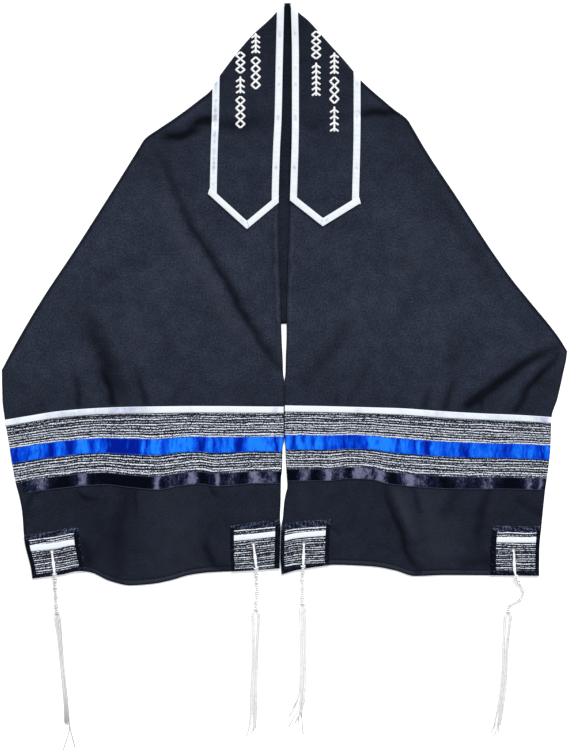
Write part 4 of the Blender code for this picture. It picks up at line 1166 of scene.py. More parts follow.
def make_back():
    """The layer behind both fronts, which shows as a strip between them."""
    samples = np.linspace(0.0, 0.985, 48)
    sides = []
    for half in HALVES:
        top = half.fold_at(samples) - (ROLL_RADIUS + LIP + GAP) / half.slant_at(samples)
        sides.append((half.side * half.out_at(samples, top), top))
    strip_x = np.linspace(*NECK_GAP, 7)
    neck = np.full(len(strip_x), LEFT.fold[0][1] - 0.5)
    x = np.concatenate((sides[0][0][::-1], strip_x, sides[1][0]))
    top = np.concatenate((sides[0][1][::-1], neck, sides[1][1]))
    hems = np.where(x < 0, np.interp(-x, *zip(*LEFT.back_hem)), np.interp(x, *zip(*RIGHT.back_hem)))
    heights = top + np.linspace(0, 1, 110)[:, None] * (hems - top)
    x = np.broadcast_to(x, heights.shape)
    swell = np.clip(0.2 * waves(x, heights, GENTLE), -0.2, 0.2)
    points = np.stack((x, heights, LAID_TOP + swell + back_lift(heights)), axis=-1)
    up = heights - hems
    # painted shade on the strip between the fronts: darker all over, more towards its hem, most at the hem's edge
    shade = 0.45 + 0.2 * np.exp(-up / 40) + 0.35 * np.exp(-(up / 3) ** 2)
    piece = add_shell("back_cloth", points, RIGHT, CLOTH_WALL, "black_cloth", {"shade": shade})
    hand_over(piece, "black_cloth", "back_panel")
    declare_sheet(piece, points, [])


# ---- the neckband

NECKBAND_SHARE = NECKBAND / WIDTH_AT_NECKBAND
RIBBON_SHARE = NECK_RIBBON / WIDTH_AT_NECKBAND
POINT_EAR = 0.0065                                # how far the pointed end's ribbon sticks out at its corner
POINT_DEPTH, POINT_TAPER, POINT_OVERLAP = 0.9, 0.9, 0.45    # its depth, its narrowing there, its lift
POINT_HEM, RIBBON_POINT_HEM = 0.4, 1.2            # how far the layers end above the point
NECK_GAP, NECK_GAP_TRIM, NECK_MIDDLE = (0.6, 8.8), (0.9, 8.6), 4.7    # x between the fronts at the neck


def sewn_on(half, columns, tops, lows, above, count, crown=0.0):
    """Points of a trim on a front, between two lines. It goes round the roll where tops is None."""
    round_roll = tops is None
    tops = half.crest_at(columns) if round_roll else tops
    heights = tops + np.linspace(0, 1, count)[:, None] * (lows - tops)
    outs = half.out_at(columns, heights)
    pucker = PUCKER * waves(outs, heights, RIBBON_PUCKER)
    body = half.points(outs, heights)
    body[..., 2] += above + crown + pucker
    if not round_roll:
        return body, outs, heights
    roll = half.around_roll(columns, above)
    roll[-1] = body[0]
    points = np.concatenate((roll, body[1:]))
    return points, half.side * points[..., 0], points[..., 1]


def make_neckband(half):
    """The neckband's stretch on a front."""
    columns = np.linspace(0.0008, NECKBAND_SHARE - 0.0008, 46)
    lows = half.point_at(columns) + POINT_HEM
    points, outs, heights = sewn_on(half, columns, None, lows, NECKBAND_ABOVE, 116)
    piece = add_shell(f"neckband_cloth_{half.name}", points, half, NECKBAND_WALL, "black_cloth",
                      {"shade": crease_shade(half, outs, heights)})
    hand_over(piece, "black_cloth", f"neckband_{half.name}")
    declare_sheet(piece, points, [f"front_cloth_{half.name}"], [make_embroidery(half)], held="folded")


def crowned(count, height):
    """Heights across a soft ribbon: low at both edges and level in its middle."""
    share = np.linspace(0, 1, count)
    return height * (1 - np.abs(2 * share - 1) ** 4)


def make_neck_ribbon(half):
    """The white satin ribbon along both sides of the neckband and round its pointed end."""
    pieces, grids = [], []
    crown = crowned(RIBBON_ROWS, RIBBON_CROWN)
    share = np.linspace(0, 1, RIBBON_ROWS)
    # how strongly the middle of each ribbon is painted with shade
    outer_level = 0.55 if half is LEFT else 0.16
    spans = (("inner", 0.0, RIBBON_SHARE, 0.16),
             ("outer", NECKBAND_SHARE - RIBBON_SHARE, NECKBAND_SHARE, outer_level))
    for place, start, end, level in spans:
        columns = np.linspace(start, end, RIBBON_ROWS)
        lows = half.point_at(columns) + RIBBON_POINT_HEM
        points, outs, heights = sewn_on(half, columns, None, lows, RIBBON_ABOVE, 210, crown)
        marks = {"along": heights, "across": outs, "depth": share,
                 "glint": soft_glints(heights, share, level)}
        pieces.append(add_shell(f"neck_ribbon_{place}", points, half, RIBBON_WALL, "white_satin", marks))
        grids.append(points)
    columns = np.linspace(0, NECKBAND_SHARE + POINT_EAR, 66)
    lows = half.point_at(columns)
    ear = np.clip((columns - NECKBAND_SHARE) / POINT_EAR, 0, 1)
    tops = lows + POINT_RIBBON * POINT_DEPTH * (1 - POINT_TAPER * ear)
    points, outs, heights = sewn_on(half, columns, tops, lows, RIBBON_ABOVE + POINT_OVERLAP, RIBBON_ROWS,
                                    crown[:, None])
    share = share[:, None]
    _, (corner_out, corner_y), _ = half.point
    mitre = np.exp(-((outs - corner_out - 0.3 * (heights - corner_y - 12)) / 0.9) ** 2)
    marks = {"along": outs, "across": heights, "depth": share,
             "glint": np.maximum(soft_glints(outs, share), mitre)}
    pieces.append(add_shell("neck_ribbon_point", points, half, RIBBON_WALL, "white_satin", marks))
    ribbon = join(f"neckband_white_ribbon_{half.name}", pieces)
    hand_over(ribbon, "white_satin", f"neckband_ribbon_{half.name}")
    declare_ribbon(ribbon, grids + [points], NECK_RIBBON, [f"neckband_cloth_{half.name}"])


def soft_glints(along, share, level=0.1):
    """Painted shade in soft spots along a white ribbon's middle, as if it turned a little from the light."""
    spots, slow = waves(along, share * 4, SOFT_SPOTS), waves(along, share, SLOW_SPOTS)
    middle = np.exp(-((share - 0.5) / 0.27) ** 4)
    return np.clip(middle * (level + spots + slow), 0, 1)


def make_neck_back():
    """The neckband's stretch on the back layer, which shows between the fronts."""
    edge = np.linspace(0.0, NECKBAND_SHARE - 0.004, 40)
    sides = [half.side * half.out_at(edge, half.fold_at(edge)) for half in HALVES]
    folds = [half.fold_at(edge) - (ROLL_RADIUS + GAP) / half.slant_at(edge) for half in HALVES]
    neck_y = LEFT.fold[0][1]
    x = np.concatenate((sides[0][::-1], np.linspace(*NECK_GAP_TRIM, 5), sides[1]))
    band_tops = np.concatenate((folds[0][::-1], np.full(5, neck_y - 1), folds[1]))
    band_lows = np.interp(x, (x[0], NECK_MIDDLE, x[-1]),
                          (band_tops[0] - 1.5, neck_y - NECKBAND, band_tops[-1] - 1.5))
    # the neckband's cloth between the fronts gets painted shade
    layers = (("neckband_cloth_back", "black_cloth", "neckband_back", 0.7, 1.9),
              ("neckband_white_ribbon_back", "white_satin", "neckband_ribbon_back", 0.0, 0.9))
    for name, finish, node, shade, top_z in layers:
        is_ribbon = finish == "white_satin"
        tops = np.minimum(band_lows + NECK_RIBBON, band_tops) if is_ribbon else band_tops
        lows = np.minimum(band_lows, tops - 1)
        heights = tops + np.linspace(0, 1, 12)[:, None] * (lows - tops)
        spread = np.broadcast_to(x, heights.shape)
        points = np.stack((spread, heights, np.full(heights.shape, top_z)), axis=-1)
        marks = {"shade": shade, "along": spread, "across": heights, "depth": 0.5, "glint": 0.1}
        piece = hand_over(add_shell(name, points, RIGHT, NECKBAND_WALL, finish, marks), finish, node)
        if is_ribbon:
            declare_ribbon(piece, [points], NECK_RIBBON, ["neckband_cloth_back"])
        else:
            declare_sheet(piece, points, ["back_cloth"])


# ---- embroidery: plain runs of a border pattern in raised satin stitch

STROKE_RADIUS = 1.6
PATTERN_HALF = 6.9
Run = namedtuple("Run", "out top low pattern repeats")
RUNS = {
    "left": (
        Run(70.5, 385, 351, "diamonds", 3), Run(70.5, 346, 319, "wheat", 3),
        Run(70.5, 314, 264, "diamonds", 4), Run(46, 415, 383, "wheat", 4), Run(46, 377, 326, "diamonds", 4)),
    "right": (
        Run(50.5, 418, 374, "diamonds", 4), Run(50.5, 368, 315, "wheat", 6), Run(79.5, 384, 350, "wheat", 4),
        Run(79.5, 345, 303, "diamonds", 3), Run(79.5, 298, 258, "wheat", 4)),
}


def run_strokes(run):
    """The strokes of a run, each as rows of (out, y)."""
    length = run.top - run.low
    down = np.linspace(0, length, int(length / 0.7))
    turn = down * run.repeats / length
    tooth = PATTERN_HALF * (1 - np.abs(2 * (turn % 1) - 1))
    if run.pattern == "diamonds":
        strokes = [(tooth, down), (-tooth, down)]
    else:
        across = np.linspace(-PATTERN_HALF, PATTERN_HALF, 25)
        rise = 4.6 * (1 - np.abs(across) / PATTERN_HALF)
        strokes = [(across, (number + 0.95) * length / run.repeats - rise) for number in range(run.repeats)]
        strokes.append((0 * down, down))
    return [np.column_stack((run.out + across, run.top - down)) for across, down in strokes]


def make_embroidery(half):
    """Two columns of a plain white border pattern on a front's neckband."""
    parts, marks = [], []
    for run in RUNS[half.name]:
        for flat in run_strokes(run):
            line = half.points(flat[:, 0], flat[:, 1], NECKBAND_ABOVE + 0.25)
            radii = STROKE_RADIUS * np.ones(len(line))
            radii[[0, -1]] = 0.5 * STROKE_RADIUS
            parts.append(tube_mesh(tube(line, radii, sides=8, flat=0.5)))
            marks.append(np.append(np.repeat(way_along(line), 8), (0, way_along(line)[-1])))
    piece = add_thread(f"neckband_embroidery_{half.name}", *gather_meshes(parts), "embroidery",
                       np.concatenate(marks))
    return hand_over(piece, "white_cord")


# ---- the striped band

TURNED_EDGE = {"left": 0.003, "right": 0.0015}    # share of the width that the turned black edge takes


def glints_at(glints, out, share, depth):
    """Painted highlights and shade of a satin ribbon at each point, which also set how far its ripples rise; share
    runs across it from its upper edge.
    """
    total = np.zeros(np.broadcast(out, share).shape)
    for glint in glints:
        lean = 4 * np.sin(1.7 * glint.out) * (share - 0.5) * depth / 24
        bend = 0.7 * np.sin(2.3 * glint.out + 7 * share)
        width = glint.half_width * (1 + 0.15 * np.sin(glint.out + 5 * share))
        total = total + glint.strength * np.exp(-((out - glint.out - lean - bend) / width) ** 2)
    return np.clip(total, -0.6, 1.1) * smooth(share / RIBBON_EDGE) * smooth((1 - share) / RIBBON_EDGE)


def make_front_edge(half):
    """The turned edge of the black cloth, which shows beside the band, painted dark as painted shade in the gap
    between the halves.
    """
    columns = np.linspace(0, 5 * TURNED_EDGE[half.name], 6)
    heights = half.band_line(np.linspace(WHITE_TOP - 0.04, BLACK_LOW, 60)[:, None], columns)
    points, _ = half.band_grid(columns, heights, -0.1)
    piece = add_shell(f"front_edge_{half.name}", points, half, BAND_WALL, "black_cloth", {"shade": 0.85})
    return hand_over(piece, "black_cloth")


def make_band_ribbon(half, colour, top, low, depth, last_column):
    """A satin ribbon sewn across the striped band."""
    columns = np.linspace(TURNED_EDGE[half.name], last_column, 200)
    shares = np.linspace(0, 1, BAND_RIBBON_ROWS)[:, None]
    heights = half.band_line(top + shares * (low - top), columns)
    points, outs = half.band_grid(columns, heights, BAND_RIBBON_ABOVE)
    # painted highlights and shade along the ribbon, which also lift its ripples
    shine = glints_at(half.glints[colour], outs, shares, depth)
    points[..., 2] += 0.5 * np.maximum(shine, 0) + crowned(BAND_RIBBON_ROWS, RIBBON_CROWN)[:, None]
    marks = {"along": half.pattern_at(outs), "across": shares * depth, "depth": shares, "glint": shine}
    satin_name = f"{colour}_satin"
    piece = add_shell(f"{colour}_band_ribbon_{half.name}", points, half, RIBBON_WALL, satin_name, marks)
    hand_over(piece, satin_name, f"{colour}_ribbon_{half.name}")
    declare_ribbon(piece, [points], depth, [f"grey_band_cloth_{half.name}"])


def make_grey_band(half):
    """The grey woven cloth under the ribbons, in two stretches that differ in their lines."""
    columns = np.linspace(TURNED_EDGE[half.name], 1, 180)
    middle = (BLUE_TOP + BLUE_LOW) / 2
    stretches = (("above", "grey_upper", UPPER_SEAM, middle, WHITE_LOW, BLUE_TOP),
                 ("below", "grey_lower", middle, half.lower_seam(columns), BLUE_LOW, BLACK_TOP))
    pieces, grids = [], []
    for place, finish, start, end, first, last in stretches:
        shares = start + np.linspace(0, 1, 20)[:, None] * (end - start)
        points, outs = half.band_grid(columns, half.band_line(shares, columns))
        marks = {"along": half.pattern_at(outs), "across": shares * BAND_LINES[-1],
                 "depth": np.clip((shares - first) / (last - first), 0, 1)}
        pieces.append(add_shell(f"grey_{place}", points, half, BAND_WALL, finish, marks))
        grids.append(points)
    band = join(f"grey_band_cloth_{half.name}", pieces)
    hand_over(band, "grey_weave", f"grey_band_{half.name}")
    declare_sheet(band, np.concatenate((grids[0], grids[1][1:])), [f"front_cloth_{half.name}"],
                  [make_front_edge(half)])


# ---- the end panel and its patches

def near_eyelets(half, values, centre_of, scale):
    """Adds lines close together at each eyelet to the lines of a grid."""
    centres = [centre_of(patch) for patch in half.patches]
    extra = [centre + np.linspace(-FINE_REACH, FINE_REACH, FINE_LINES) / scale for centre in centres]
    kept = [value for value in values if all(abs(value - centre) > CLEAR_REACH / scale for centre in centres)]
    return np.sort(np.concatenate([np.array(kept)] + extra))


def open_cells(half, points, radius):
    """The cells of a grid that don't lie in an eyelet."""
    x, y = points[..., 0], points[..., 1]
    centre_x = (x[:-1, :-1] + x[1:, 1:]) / 2
    centre_y = (y[:-1, :-1] + y[1:, 1:]) / 2
    kept = np.ones(centre_x.shape, dtype=bool)
    for patch in half.patches:
        out, height = half.eyelet(patch)
        kept &= np.hypot(centre_x - half.side * out, centre_y - height) > radius
    return kept


def make_end(half):
    """The plain end panel, with its hem turned up."""
    columns = np.concatenate(([0, 0.003], np.linspace(0.006, 0.994, 136), [0.997, 1]))
    columns = near_eyelets(half, columns, lambda patch: patch.eyelet, HEM_WIDTH)
    seam = half.band_line(half.lower_seam(columns), columns) - GAP / 2
    hem = half.height_on(half.hem, columns)

    def eyelet_share(patch):
        """Share of the panel's depth at which a patch's eyelet lies."""
        top, low = (np.interp(patch.eyelet, columns, line) for line in (seam, hem))
        return float((top - half.eyelet(patch)[1]) / (top - low))

    rows = np.concatenate((np.linspace(0, 0.9, 52)[:-1], np.linspace(0.9, 1, 18)))
    shares = near_eyelets(half, rows, eyelet_share, END_DEPTH)
    heights = seam + shares[:, None] * (hem - seam)
    points, outs = half.band_grid(columns, heights)
    up = heights - hem
    points[..., 2] += HEM_RISE * smooth((HEM_DEPTH - up) / HEM_SLOPE)
    side = np.minimum(outs - half.out_at(0.0, heights), half.out_at(1.0, heights) - outs)
    # painted light and shade of the turned hem: a dark line along its top, a lighter band below it, and painted shade
    # at the edges
    hem_top_shade = 0.35 * np.exp(-((up - HEM_DEPTH) / 1.1) ** 2)
    hem_shade = hem_top_shade - 0.16 * smooth((up - 2) / HEM_SLOPE) * smooth((8.5 - up) / HEM_SLOPE)
    shade = fold_shade(half.end_folds, outs, heights) + hem_shade + edge_shade(np.minimum(up, side))
    piece = add_shell(f"end_cloth_{half.name}", points, half, END_WALL, "black_cloth",
                      {"shade": np.clip(shade, LIGHTEST, DARKEST)}, open_cells(half, points, EYELET_OPEN))
    hand_over(piece, "black_cloth", f"end_panel_{half.name}")
    declare_sheet(piece, points, [f"grey_band_cloth_{half.name}"], make_sewing(half))


def patch_grid(half, columns, ups, above):
    """Points on a patch, at heights measured up from the hem."""
    heights = half.hem_up(columns, ups)
    return *half.band_grid(columns, heights, above), heights


def patch_lines(patch, columns):
    """The patch's lines in each column, straight from its start to its end."""
    share = (columns - patch.start) / (patch.end - patch.start)
    return Lines(*(first + share * (last - first) for first, last in zip(*patch.lines)))


def make_patch(half, patch):
    """A grey corner patch with its satin border and white strip."""
    name = f"{half.name}_{patch.name}"
    columns = np.linspace(patch.start, patch.end, 46)
    columns = near_eyelets(half, columns, lambda other: other.eyelet, HEM_WIDTH)
    columns = columns[(columns >= patch.start) & (columns <= patch.end)]
    lines = patch_lines(patch, columns)
    eyelet_up = PATCH_BORDER_LOW + EYELET_SHARE * half.patch_height(patch.eyelet)
    eyelet_share = float(eyelet_up / np.interp(patch.eyelet, columns, lines.top))
    rows = np.linspace(1, 0, 40)
    rows = np.concatenate((rows[np.abs(rows - eyelet_share) > 0.063],
                           eyelet_share + np.linspace(-0.06, 0.06, FINE_LINES)))
    rows = np.sort(rows)[::-1][:, None]
    weave, outs, _ = patch_grid(half, columns, rows * lines.top, PATCH_ABOVE)
    down = lines.grey_top - rows * lines.top
    marks = {"along": half.pattern_at(outs), "across": down,
             "depth": np.clip(down / (lines.grey_top - lines.low), 0, 1)}
    cloth = add_shell(f"patch_weave_{name}", weave, half, BAND_WALL, "grey_patch", marks,
                      open_cells(half, weave, PATCH_OPEN))
    hand_over(cloth, "grey_weave", f"corner_patch_{name}")

    across = np.linspace(0, 1, RIBBON_ROWS)[:, None]
    strips = []
    # painted sheen: the top border is painted lightest, the low one less, the sides not at all
    for place, low, high, sheen in (("top", lines.grey_top, lines.top, 0.4), ("low", 0, lines.low, 0.16)):
        grid = patch_grid(half, columns, low + across[::-1] * (high - low), BORDER_ABOVE)
        strips.append(border_strip(f"border_{place}", half, grid, across[::-1], sheen))
    side_across = np.linspace(0, 1, 7)
    for place, start, end in (("start", patch.start, patch.grey_start), ("end", patch.grey_end, patch.end)):
        side_columns = start + side_across * (end - start)
        side = patch_lines(patch, side_columns)
        ups = side.low - 1 + np.linspace(1, 0, 60)[:, None] * (side.grey_top - side.low + 2)
        grid = patch_grid(half, side_columns, ups, BORDER_ABOVE - 0.3)
        strips.append(border_strip(f"border_{place}", half, grid, side_across, 0.0))
    border = join(f"patch_satin_border_{name}", strips)
    hand_over(border, "navy_satin", f"patch_border_{name}")

    columns = np.linspace(patch.grey_start, patch.grey_end, 60)
    lines = patch_lines(patch, columns)
    ups = lines.strip_top - across * (lines.strip_top - lines.strip_low)
    points, outs, _ = patch_grid(half, columns, ups, PATCH_ABOVE + 0.5)
    points[..., 2] += crowned(RIBBON_ROWS, 0.4)[:, None]
    # the strip's middle gets soft painted shade
    marks = {"along": outs, "across": across * STRIP_DEPTH, "depth": across,
             "glint": 0.8 * soft_glints(outs, across)}
    strip = add_shell(f"patch_white_strip_{name}", points, half, RIBBON_WALL, "white_satin", marks)
    hand_over(strip, "white_satin", f"patch_strip_{name}")
    declare_sheet(cloth, weave, [f"end_cloth_{half.name}"], [border, strip, make_eyelet_ring(half, patch)])


def border_strip(name, half, grid, across, sheen):
    """A stretch of a patch's puffed satin border, with painted sheen that is stronger where it puffs."""
    points, outs, heights = grid
    points[..., 2] += BORDER_SWELL * np.sqrt(np.clip(1 - (2 * across - 1) ** 2, 0, 1))
    puff = waves(outs, heights, BORDER_PUFF)
    points[..., 2] += PUFF * puff
    marks = {"along": outs, "across": heights, "depth": 0.5, "glint": np.clip(sheen + 0.35 * puff, 0, 1)}
    return add_shell(name, points, half, BORDER_WALL, "navy_satin", marks)


def make_eyelet_ring(half, patch):
    """The worked ring round an eyelet."""
    out, height = half.eyelet(patch)
    turns = np.linspace(0, 2 * np.pi, 49)
    outs, heights = out + RING_RADIUS * np.cos(turns), height + RING_RADIUS * np.sin(turns)
    line = half.band_points(outs, heights, PATCH_ABOVE + 0.15)
    rings = tube(line, RING_YARN, sides=8, flat=0.8)
    rings[-1] = rings[0]
    piece = add_thread(f"eyelet_stitching_{half.name}_{patch.name}", *tube_mesh(rings), "grey_thread",
                       np.append(np.repeat(way_along(line), 8), (0, 0)))
    return hand_over(piece, "white_cord")


# ---- sewing lines

NECK_STITCH, BAND_STITCH, BLUE_STITCH = 0.003, 0.008, 0.01    # shares, in from a ribbon's edge


def make_sewing(half):
    """Stitches along the neckband's ribbons, the band's ribbons and the hem."""
    white, dark = [], []
    for column in (RIBBON_SHARE - NECK_STITCH, NECKBAND_SHARE - RIBBON_SHARE + NECK_STITCH):
        top, low = half.crest_at(column) - 4, half.point_at(np.array([column]))[0] + POINT_RIBBON
        heights = np.linspace(top, low, 160)
        white.append(half.points(half.out_at(np.full(160, column), heights), heights, RIBBON_ABOVE + 0.3))
    columns = np.linspace(0.01, 0.99, 300)
    dark.append(half.band_grid(columns, half.hem_up(columns, HEM_SEWING), 0.3)[0])
    for lines, shares in ((white, (WHITE_TOP + BAND_STITCH, WHITE_LOW - BAND_STITCH)),
                          (dark, (BLUE_TOP + BLUE_STITCH, BLUE_LOW - BLUE_STITCH, BLACK_TOP + BAND_STITCH))):
        for share in shares:
            lines.append(half.band_grid(columns, half.band_line(share, columns), STITCH_ABOVE)[0])
    return [add_stitches(f"white_stitches_{half.name}", white, "embroidery", "white_cord"),
            add_stitches(f"dark_stitches_{half.name}", dark, "dark_thread", "black_cloth")]


# ---- tassels

STRAND_RADIUS, STRAND_PITCH = 0.9, 5.0
PLY_RADIUS, PLY_PITCH = 0.75, 4.0                 # the four yarns between an eyelet and the knots
PLIES_APART, PLIES_SPREAD = 0.3, 1.35             # how far apart they lie at their ends, and more between
STRAND_LAYER = 1.15                               # how much higher every other strand lies
STRAND_LANDS, STRAND_LEAVES = (0.8, 0.15), 0.08   # shares along it where it comes down
COIL_RADIUS, COIL_TURN, COIL_YARN, COIL_PITCH, COIL_LOWEST = 2.0, 3.4, 0.8, 3.0, 0.82    # the wound part
KNOT_RADIUS, LAST_KNOT_RADIUS, KNOT_TURN, KNOT_REACH = 3.0, 3.5, 2.7, 2.1
KNOT_YARN, KNOT_PITCH, KNOT_LOWEST = 1.05, 4.0, 1.07
STRANDS = {        # sideways at the knots, below them, in the middle and at the end; share of the length
    "left_outer": (
        (-3.2, -4.6, -2.9, -4.6, 0.80), (-2.4, -3.4, -2.0, -2.8, 0.815), (-1.5, -2.1, -1.2, 0.6, 0.82),
        (-0.6, -0.8, -0.4, -2.0, 0.81), (0.5, 0.7, 0.5, 0.8, 0.815), (1.5, 2.1, 1.5, 2.6, 0.805),
        (2.6, 3.5, 2.3, -9.0, 1.0), (3.6, 4.8, 3.1, 10.5, 0.985)),
    "left_inner": (
        (-3.0, -6.8, -4.9, -7.0, 0.98), (-2.3, -5.3, -3.5, -5.2, 0.95), (-1.6, -3.8, -2.2, -8.4, 1.0),
        (-0.9, -2.3, -0.6, 1.4, 0.93), (0.9, 2.2, 1.0, 2.8, 0.92), (1.6, 3.7, 2.3, 2.0, 0.95),
        (2.3, 5.2, 3.7, -1.4, 0.97), (3.0, 6.7, 4.8, 4.4, 0.93)),
    "right_inner": (
        (-2.6, -5.6, -4.2, -15.0, 0.87), (-1.9, -4.2, -2.8, -10.0, 0.80), (-1.2, -2.6, -1.4, -13.5, 0.95),
        (-0.4, -1.0, 0.2, 0.6, 0.90), (0.4, 0.8, 1.5, 4.4, 0.86), (1.2, 2.6, 2.8, 7.4, 0.91),
        (1.9, 4.2, 4.0, 11.2, 0.99), (2.6, 5.7, 5.0, -3.6, 0.91)),
    "right_outer": (
        (-3.0, -6.4, -4.2, -4.4, 0.95), (-2.3, -5.0, -3.0, -2.4, 0.93), (-1.5, -3.6, -1.8, -6.2, 0.98),
        (-0.8, -2.3, -0.6, 1.0, 0.92), (0.8, 2.1, 0.6, 3.4, 0.93), (1.5, 3.5, 2.0, 4.6, 0.97),
        (2.2, 4.9, 3.2, -0.6, 1.0), (2.9, 6.2, 4.2, 5.8, 0.91)),
}
TASSEL_SHADE = {           # painted shade: how much darker a tassel's knots, its strands and their tips are painted
    "left_outer": (0.37, 0.35, 1.0), "left_inner": (0.0, 0.11, 0.5),
    "right_inner": (0.0, 0.02, 1.0), "right_outer": (0.0, 0.15, 0.6)}
KNOTS = (0.38, 0.48, 0.60, 0.74, 0.88, 0.985)     # shares of the knotted part at which a double knot sits
KNOT_SWAY = (0.2, -0.5, 0.5, -0.4, 0.3, 0.0)      # how far each knot sits to a side


def knot_route(half, tassel):
    """The knotted part's route: from the eyelet over the hem and down to the floor."""
    patch = next(patch for patch in half.patches if patch.name == tassel.patch)
    plan = np.array([half.eyelet(patch)] + list(tassel.knots)) * (half.side, 1)
    ways = [way for way, _ in CORD_RISE]
    end = way_along(plan)[-1]
    even = np.linspace(ways[-1], end, 26)
    plan = through(plan, np.concatenate((ways[:-1], even)))
    hem = half.hem_up(np.array([patch.eyelet]), 0.0)[0]
    high = np.interp(way_along(plan), *zip(*CORD_RISE))
    height = high + (CORD_RADIUS - high) * smooth((hem - plan[:, 1]) / CORD_FALL)
    return np.column_stack((plan, height))


def resample(path, step):
    """The same path with its points a step apart."""
    way = way_along(path)
    at = np.linspace(0, way[-1], max(int(way[-1] / step), 3))
    return through(path, at), at


def frame_along(path):
    """Unit vectors sideways and upward at each point of a path that lies down."""
    tangents = np.gradient(path, axis=0)
    tangents /= np.linalg.norm(tangents, axis=1, keepdims=True)
    sideways = np.cross(tangents, (0.0, 0.0, 1.0))
    sideways /= np.maximum(np.linalg.norm(sideways, axis=1, keepdims=True), 1e-6)
    return sideways, np.cross(sideways, tangents)


def yarn_part(path, radius, pitch, sides=10):
    """A two-ply yarn along a path, with the way along it at each of its points."""
    way = way_along(path)
    angles = np.linspace(0, 2 * np.pi, sides, endpoint=False)[None] - 2 * np.pi * way[:, None] / pitch
    radii = radius * (0.66 + 0.34 * np.abs(np.cos(angles)))
    radii *= np.clip(0.35 + (way[-1] - way) / 3, 0.35, 1)[:, None]
    vertices, faces = tube_mesh(tube(path, radii, sides))
    return vertices, faces, np.append(np.repeat(way, sides), (0, way[-1]))


def make_knots(half, tassel):
    """The knotted part of a tassel: its strands from the eyelet, then wound and knotted."""
    name = f"{half.name}_{tassel.patch}"
    route = knot_route(half, tassel)
    path, way = resample(route, 0.5)
    length = way[-1]
    sideways, upward = frame_along(path)
    leaf = np.sin(np.pi * np.clip(way / length / KNOTS[0], 0, 1) ** 1.5)
    parts = []
    for place, (side_share, up_share) in enumerate(((-1, -0.3), (-0.35, 0.5), (0.35, 0.5), (1, -0.3))):
        wobble = 0.2 * np.sin(way * 0.5 + place)
        apart = ((PLIES_APART + PLIES_SPREAD * leaf)[:, None] * side_share
                 + wobble[:, None] * (0.3 + 0.7 * leaf)[:, None])
        lifted = (0.5 * up_share * (1 + 0.2 * leaf))[:, None]
        parts.append(yarn_part(path + sideways * apart + upward * lifted, PLY_RADIUS, PLY_PITCH))
    plies = sum(len(part[2]) for part in parts)
    fine, fine_way = resample(route, 0.2)
    fine_side, fine_up = frame_along(fine)
    fine_share = fine_way / length
    sway = np.interp(fine_share, (KNOTS[0] - 0.06,) + KNOTS, (0.0,) + KNOT_SWAY)
    fine = fine + fine_side * sway[:, None]
    turn = 2 * np.pi * fine_way / COIL_TURN
    coil = fine + COIL_RADIUS * (np.cos(turn)[:, None] * fine_side + np.sin(turn)[:, None] * fine_up)
    coil[:, 2] = np.maximum(coil[:, 2], COIL_LOWEST)
    parts.append(yarn_part(coil[fine_share > KNOTS[0] - 0.02], COIL_YARN, COIL_PITCH, sides=6))
    for number, place in enumerate(KNOTS):
        size = LAST_KNOT_RADIUS if number == len(KNOTS) - 1 else KNOT_RADIUS
        near = np.abs(fine_way - place * length) < KNOT_REACH
        turn = 2 * np.pi * (fine_way[near] - place * length) / KNOT_TURN + 1.3 * number
        around = np.cos(turn)[:, None] * fine_side[near] + 0.75 * np.sin(turn)[:, None] * fine_up[near]
        knot = fine[near] + size * around
        knot[:, 2] = np.maximum(knot[:, 2], KNOT_LOWEST)
        parts.append(yarn_part(resample(knot, 0.6)[0], KNOT_YARN, KNOT_PITCH, sides=8))
    along = np.concatenate([part[2] for part in parts])
    # painted shade on the wound part and the knots; none on the yarns from the eyelet
    cord_shade = np.full(len(along), TASSEL_SHADE[name][0])
    cord_shade[:plies] = 0.0
    piece = add_thread(f"tassel_knotted_{name}", *gather_meshes(part[:2] for part in parts), "white_cord",
                       along, shade=cord_shade)
    hand_over(piece, "white_cord", f"tassel_knots_{name}")
    declare_cord(piece, route, length, CORD_RADIUS, "knot")
    return route


def make_strands(half, tassel, knots_end, onward):
    """The eight loose strands below the knots."""
    name = f"{half.name}_{tassel.patch}"
    _, cord_shade, tip_shade = TASSEL_SHADE[name]
    start = knots_end[:2] + 0.7 * onward[:2] / np.linalg.norm(onward[:2])
    plan = np.array([start] + [(half.side * out, y) for out, y in tassel.strands])
    length = way_along(plan)[-1]
    for number, (at_start, near, middle, tip, share) in enumerate(STRANDS[name]):
        ways = np.linspace(0, share * length, 30)
        along = ways / ways[-1]
        route = np.column_stack((through(plan, ways), np.zeros(len(ways))))
        sideways, _ = frame_along(route)
        table = ((0, at_start), (0.04, near), (0.22, 0.8 * near), (0.5, middle), (0.82, 1.15 * middle),
                 (1, tip))
        shift = along_curve(table, along) + 0.3 * np.sin(9 * along + 2 * number)
        route = route - sideways * shift[:, None]
        crossing = STRAND_LAYER * (number % 2) * (1 - smooth((along - STRAND_LANDS[0]) / STRAND_LANDS[1]))
        leaving = (CORD_RADIUS - STRAND_RADIUS) * (1 - smooth(along / STRAND_LEAVES))
        route[:, 2] = STRAND_RADIUS + np.maximum(crossing, leaving)
        vertices, faces, marks = yarn_part(resample(route, 1.0)[0], STRAND_RADIUS, STRAND_PITCH, sides=8)
        # painted shade on a strand, darkest at its tip
        shade = np.minimum(cord_shade + tip_shade * (marks / marks.max()) ** 7, 1.0)
        piece = add_thread(f"tassel_strand_{name}_{number + 1}", vertices, faces, "white_cord", marks,
                           across=number, shade=shade)
        hand_over(piece, "white_cord", f"tassel_strands_{name}")
        declare_cord(piece, route, way_along(route)[-1], STRAND_RADIUS, "bare")


def make_tassels():
    """The four knotted tassels."""
    for half in HALVES:
        for tassel in half.tassels:
            route = make_knots(half, tassel)
            make_strands(half, tassel, route[-1], route[-1] - route[-2])


# ---- the camera, the floor and the light

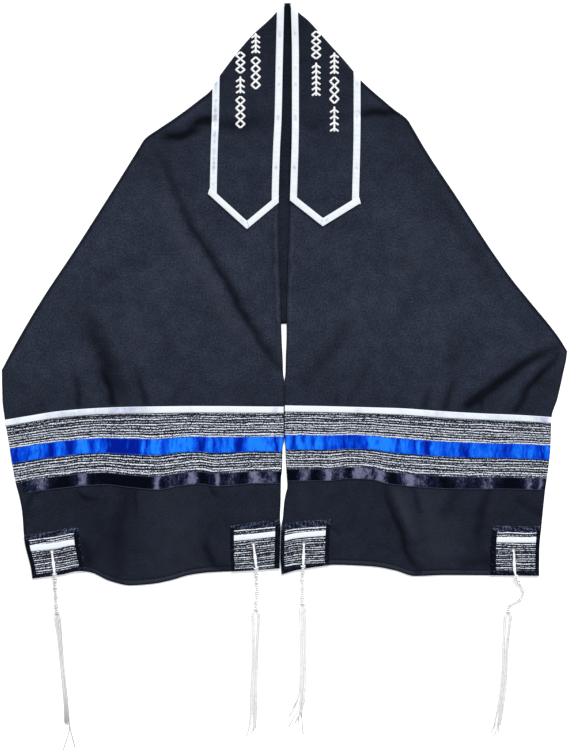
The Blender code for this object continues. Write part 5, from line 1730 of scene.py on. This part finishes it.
def add_camera():
    """A camera that looks straight down on the shawl."""
    camera = bpy.data.cameras.new("camera")
    camera.lens, camera.sensor_width = LENS, SENSOR
    camera.clip_end = 20
    viewer = bpy.data.objects.new("camera", camera)
    distance = LENS / SENSOR * VIEW_HEIGHT * MM_PER_PIXEL
    viewer.location = (0, VIEW_CENTRE_Y * MM, distance * MM)
    bpy.context.scene.collection.objects.link(viewer)
    bpy.context.scene.camera = viewer


def add_studio():
    """A pale floor, an even sky and one wide soft light from beyond the neck."""
    scene = bpy.context.scene
    scene.view_settings.view_transform = "Standard"
    world = bpy.data.worlds.new("studio")
    world.use_nodes = True
    background = world.node_tree.nodes["Background"].inputs
    background["Color"].default_value = (0.96, 0.98, 1.0, 1)
    background["Strength"].default_value = SKY
    scene.world = world
    sun = bpy.data.lights.new("window", "SUN")
    sun.energy, sun.angle = SUN, np.radians(24)
    lamp = bpy.data.objects.new("window", sun)
    lamp.rotation_euler = Vector((-0.22, -0.78, -0.62)).to_track_quat("-Z", "Y").to_euler()
    scene.collection.objects.link(lamp)
    finish = Finish("floor", roughness=0.9, specular_ior_level=0.1,
                    emission_color=(1, 1, 1, 1), emission_strength=0.22)
    x, y = cloth_place(finish)
    haze = finish.noise(x * 0.004, y * 0.004, detail=2)
    finish.colour(finish.mix(haze, (0.93, 0.93, 0.93), (0.96, 0.96, 0.96)))
    mesh = bpy.data.meshes.new("floor")
    corners = ((-1, -1), (1, -1), (1, 1), (-1, 1))
    mesh.from_pydata([(x * FLOOR_REACH, y * FLOOR_REACH, 0) for x, y in corners], [], [(0, 1, 2, 3)])
    mesh.materials.append(finish.material)
    floor = bpy.data.objects.new("floor", mesh)
    scene.collection.objects.link(floor)
    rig.stage(floor)


FINISHES = make_finishes()

add_camera()
make_tassels()
make_back()
make_neck_back()
for half in HALVES:
    make_front(half)
    make_neckband(half)
    make_neck_ribbon(half)
    make_grey_band(half)
    make_band_ribbon(half, "white", WHITE_TOP, WHITE_LOW, WHITE, 1.0)
    make_band_ribbon(half, "blue", BLUE_TOP, BLUE_LOW, BLUE, 1.0)
    make_band_ribbon(half, "black", BLACK_TOP, BLACK_LOW, BLACK, half.black_end)
    make_end(half)
    for patch in half.patches:
        make_patch(half, patch)
add_studio()

shown_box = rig.bounds()
with open(SIZE_FILE, "w") as file:
    json.dump({"cad": [list(map(float, corner)) for corner in cad_box],
               "shown": [list(map(float, corner)) for corner in shown_box]}, file)
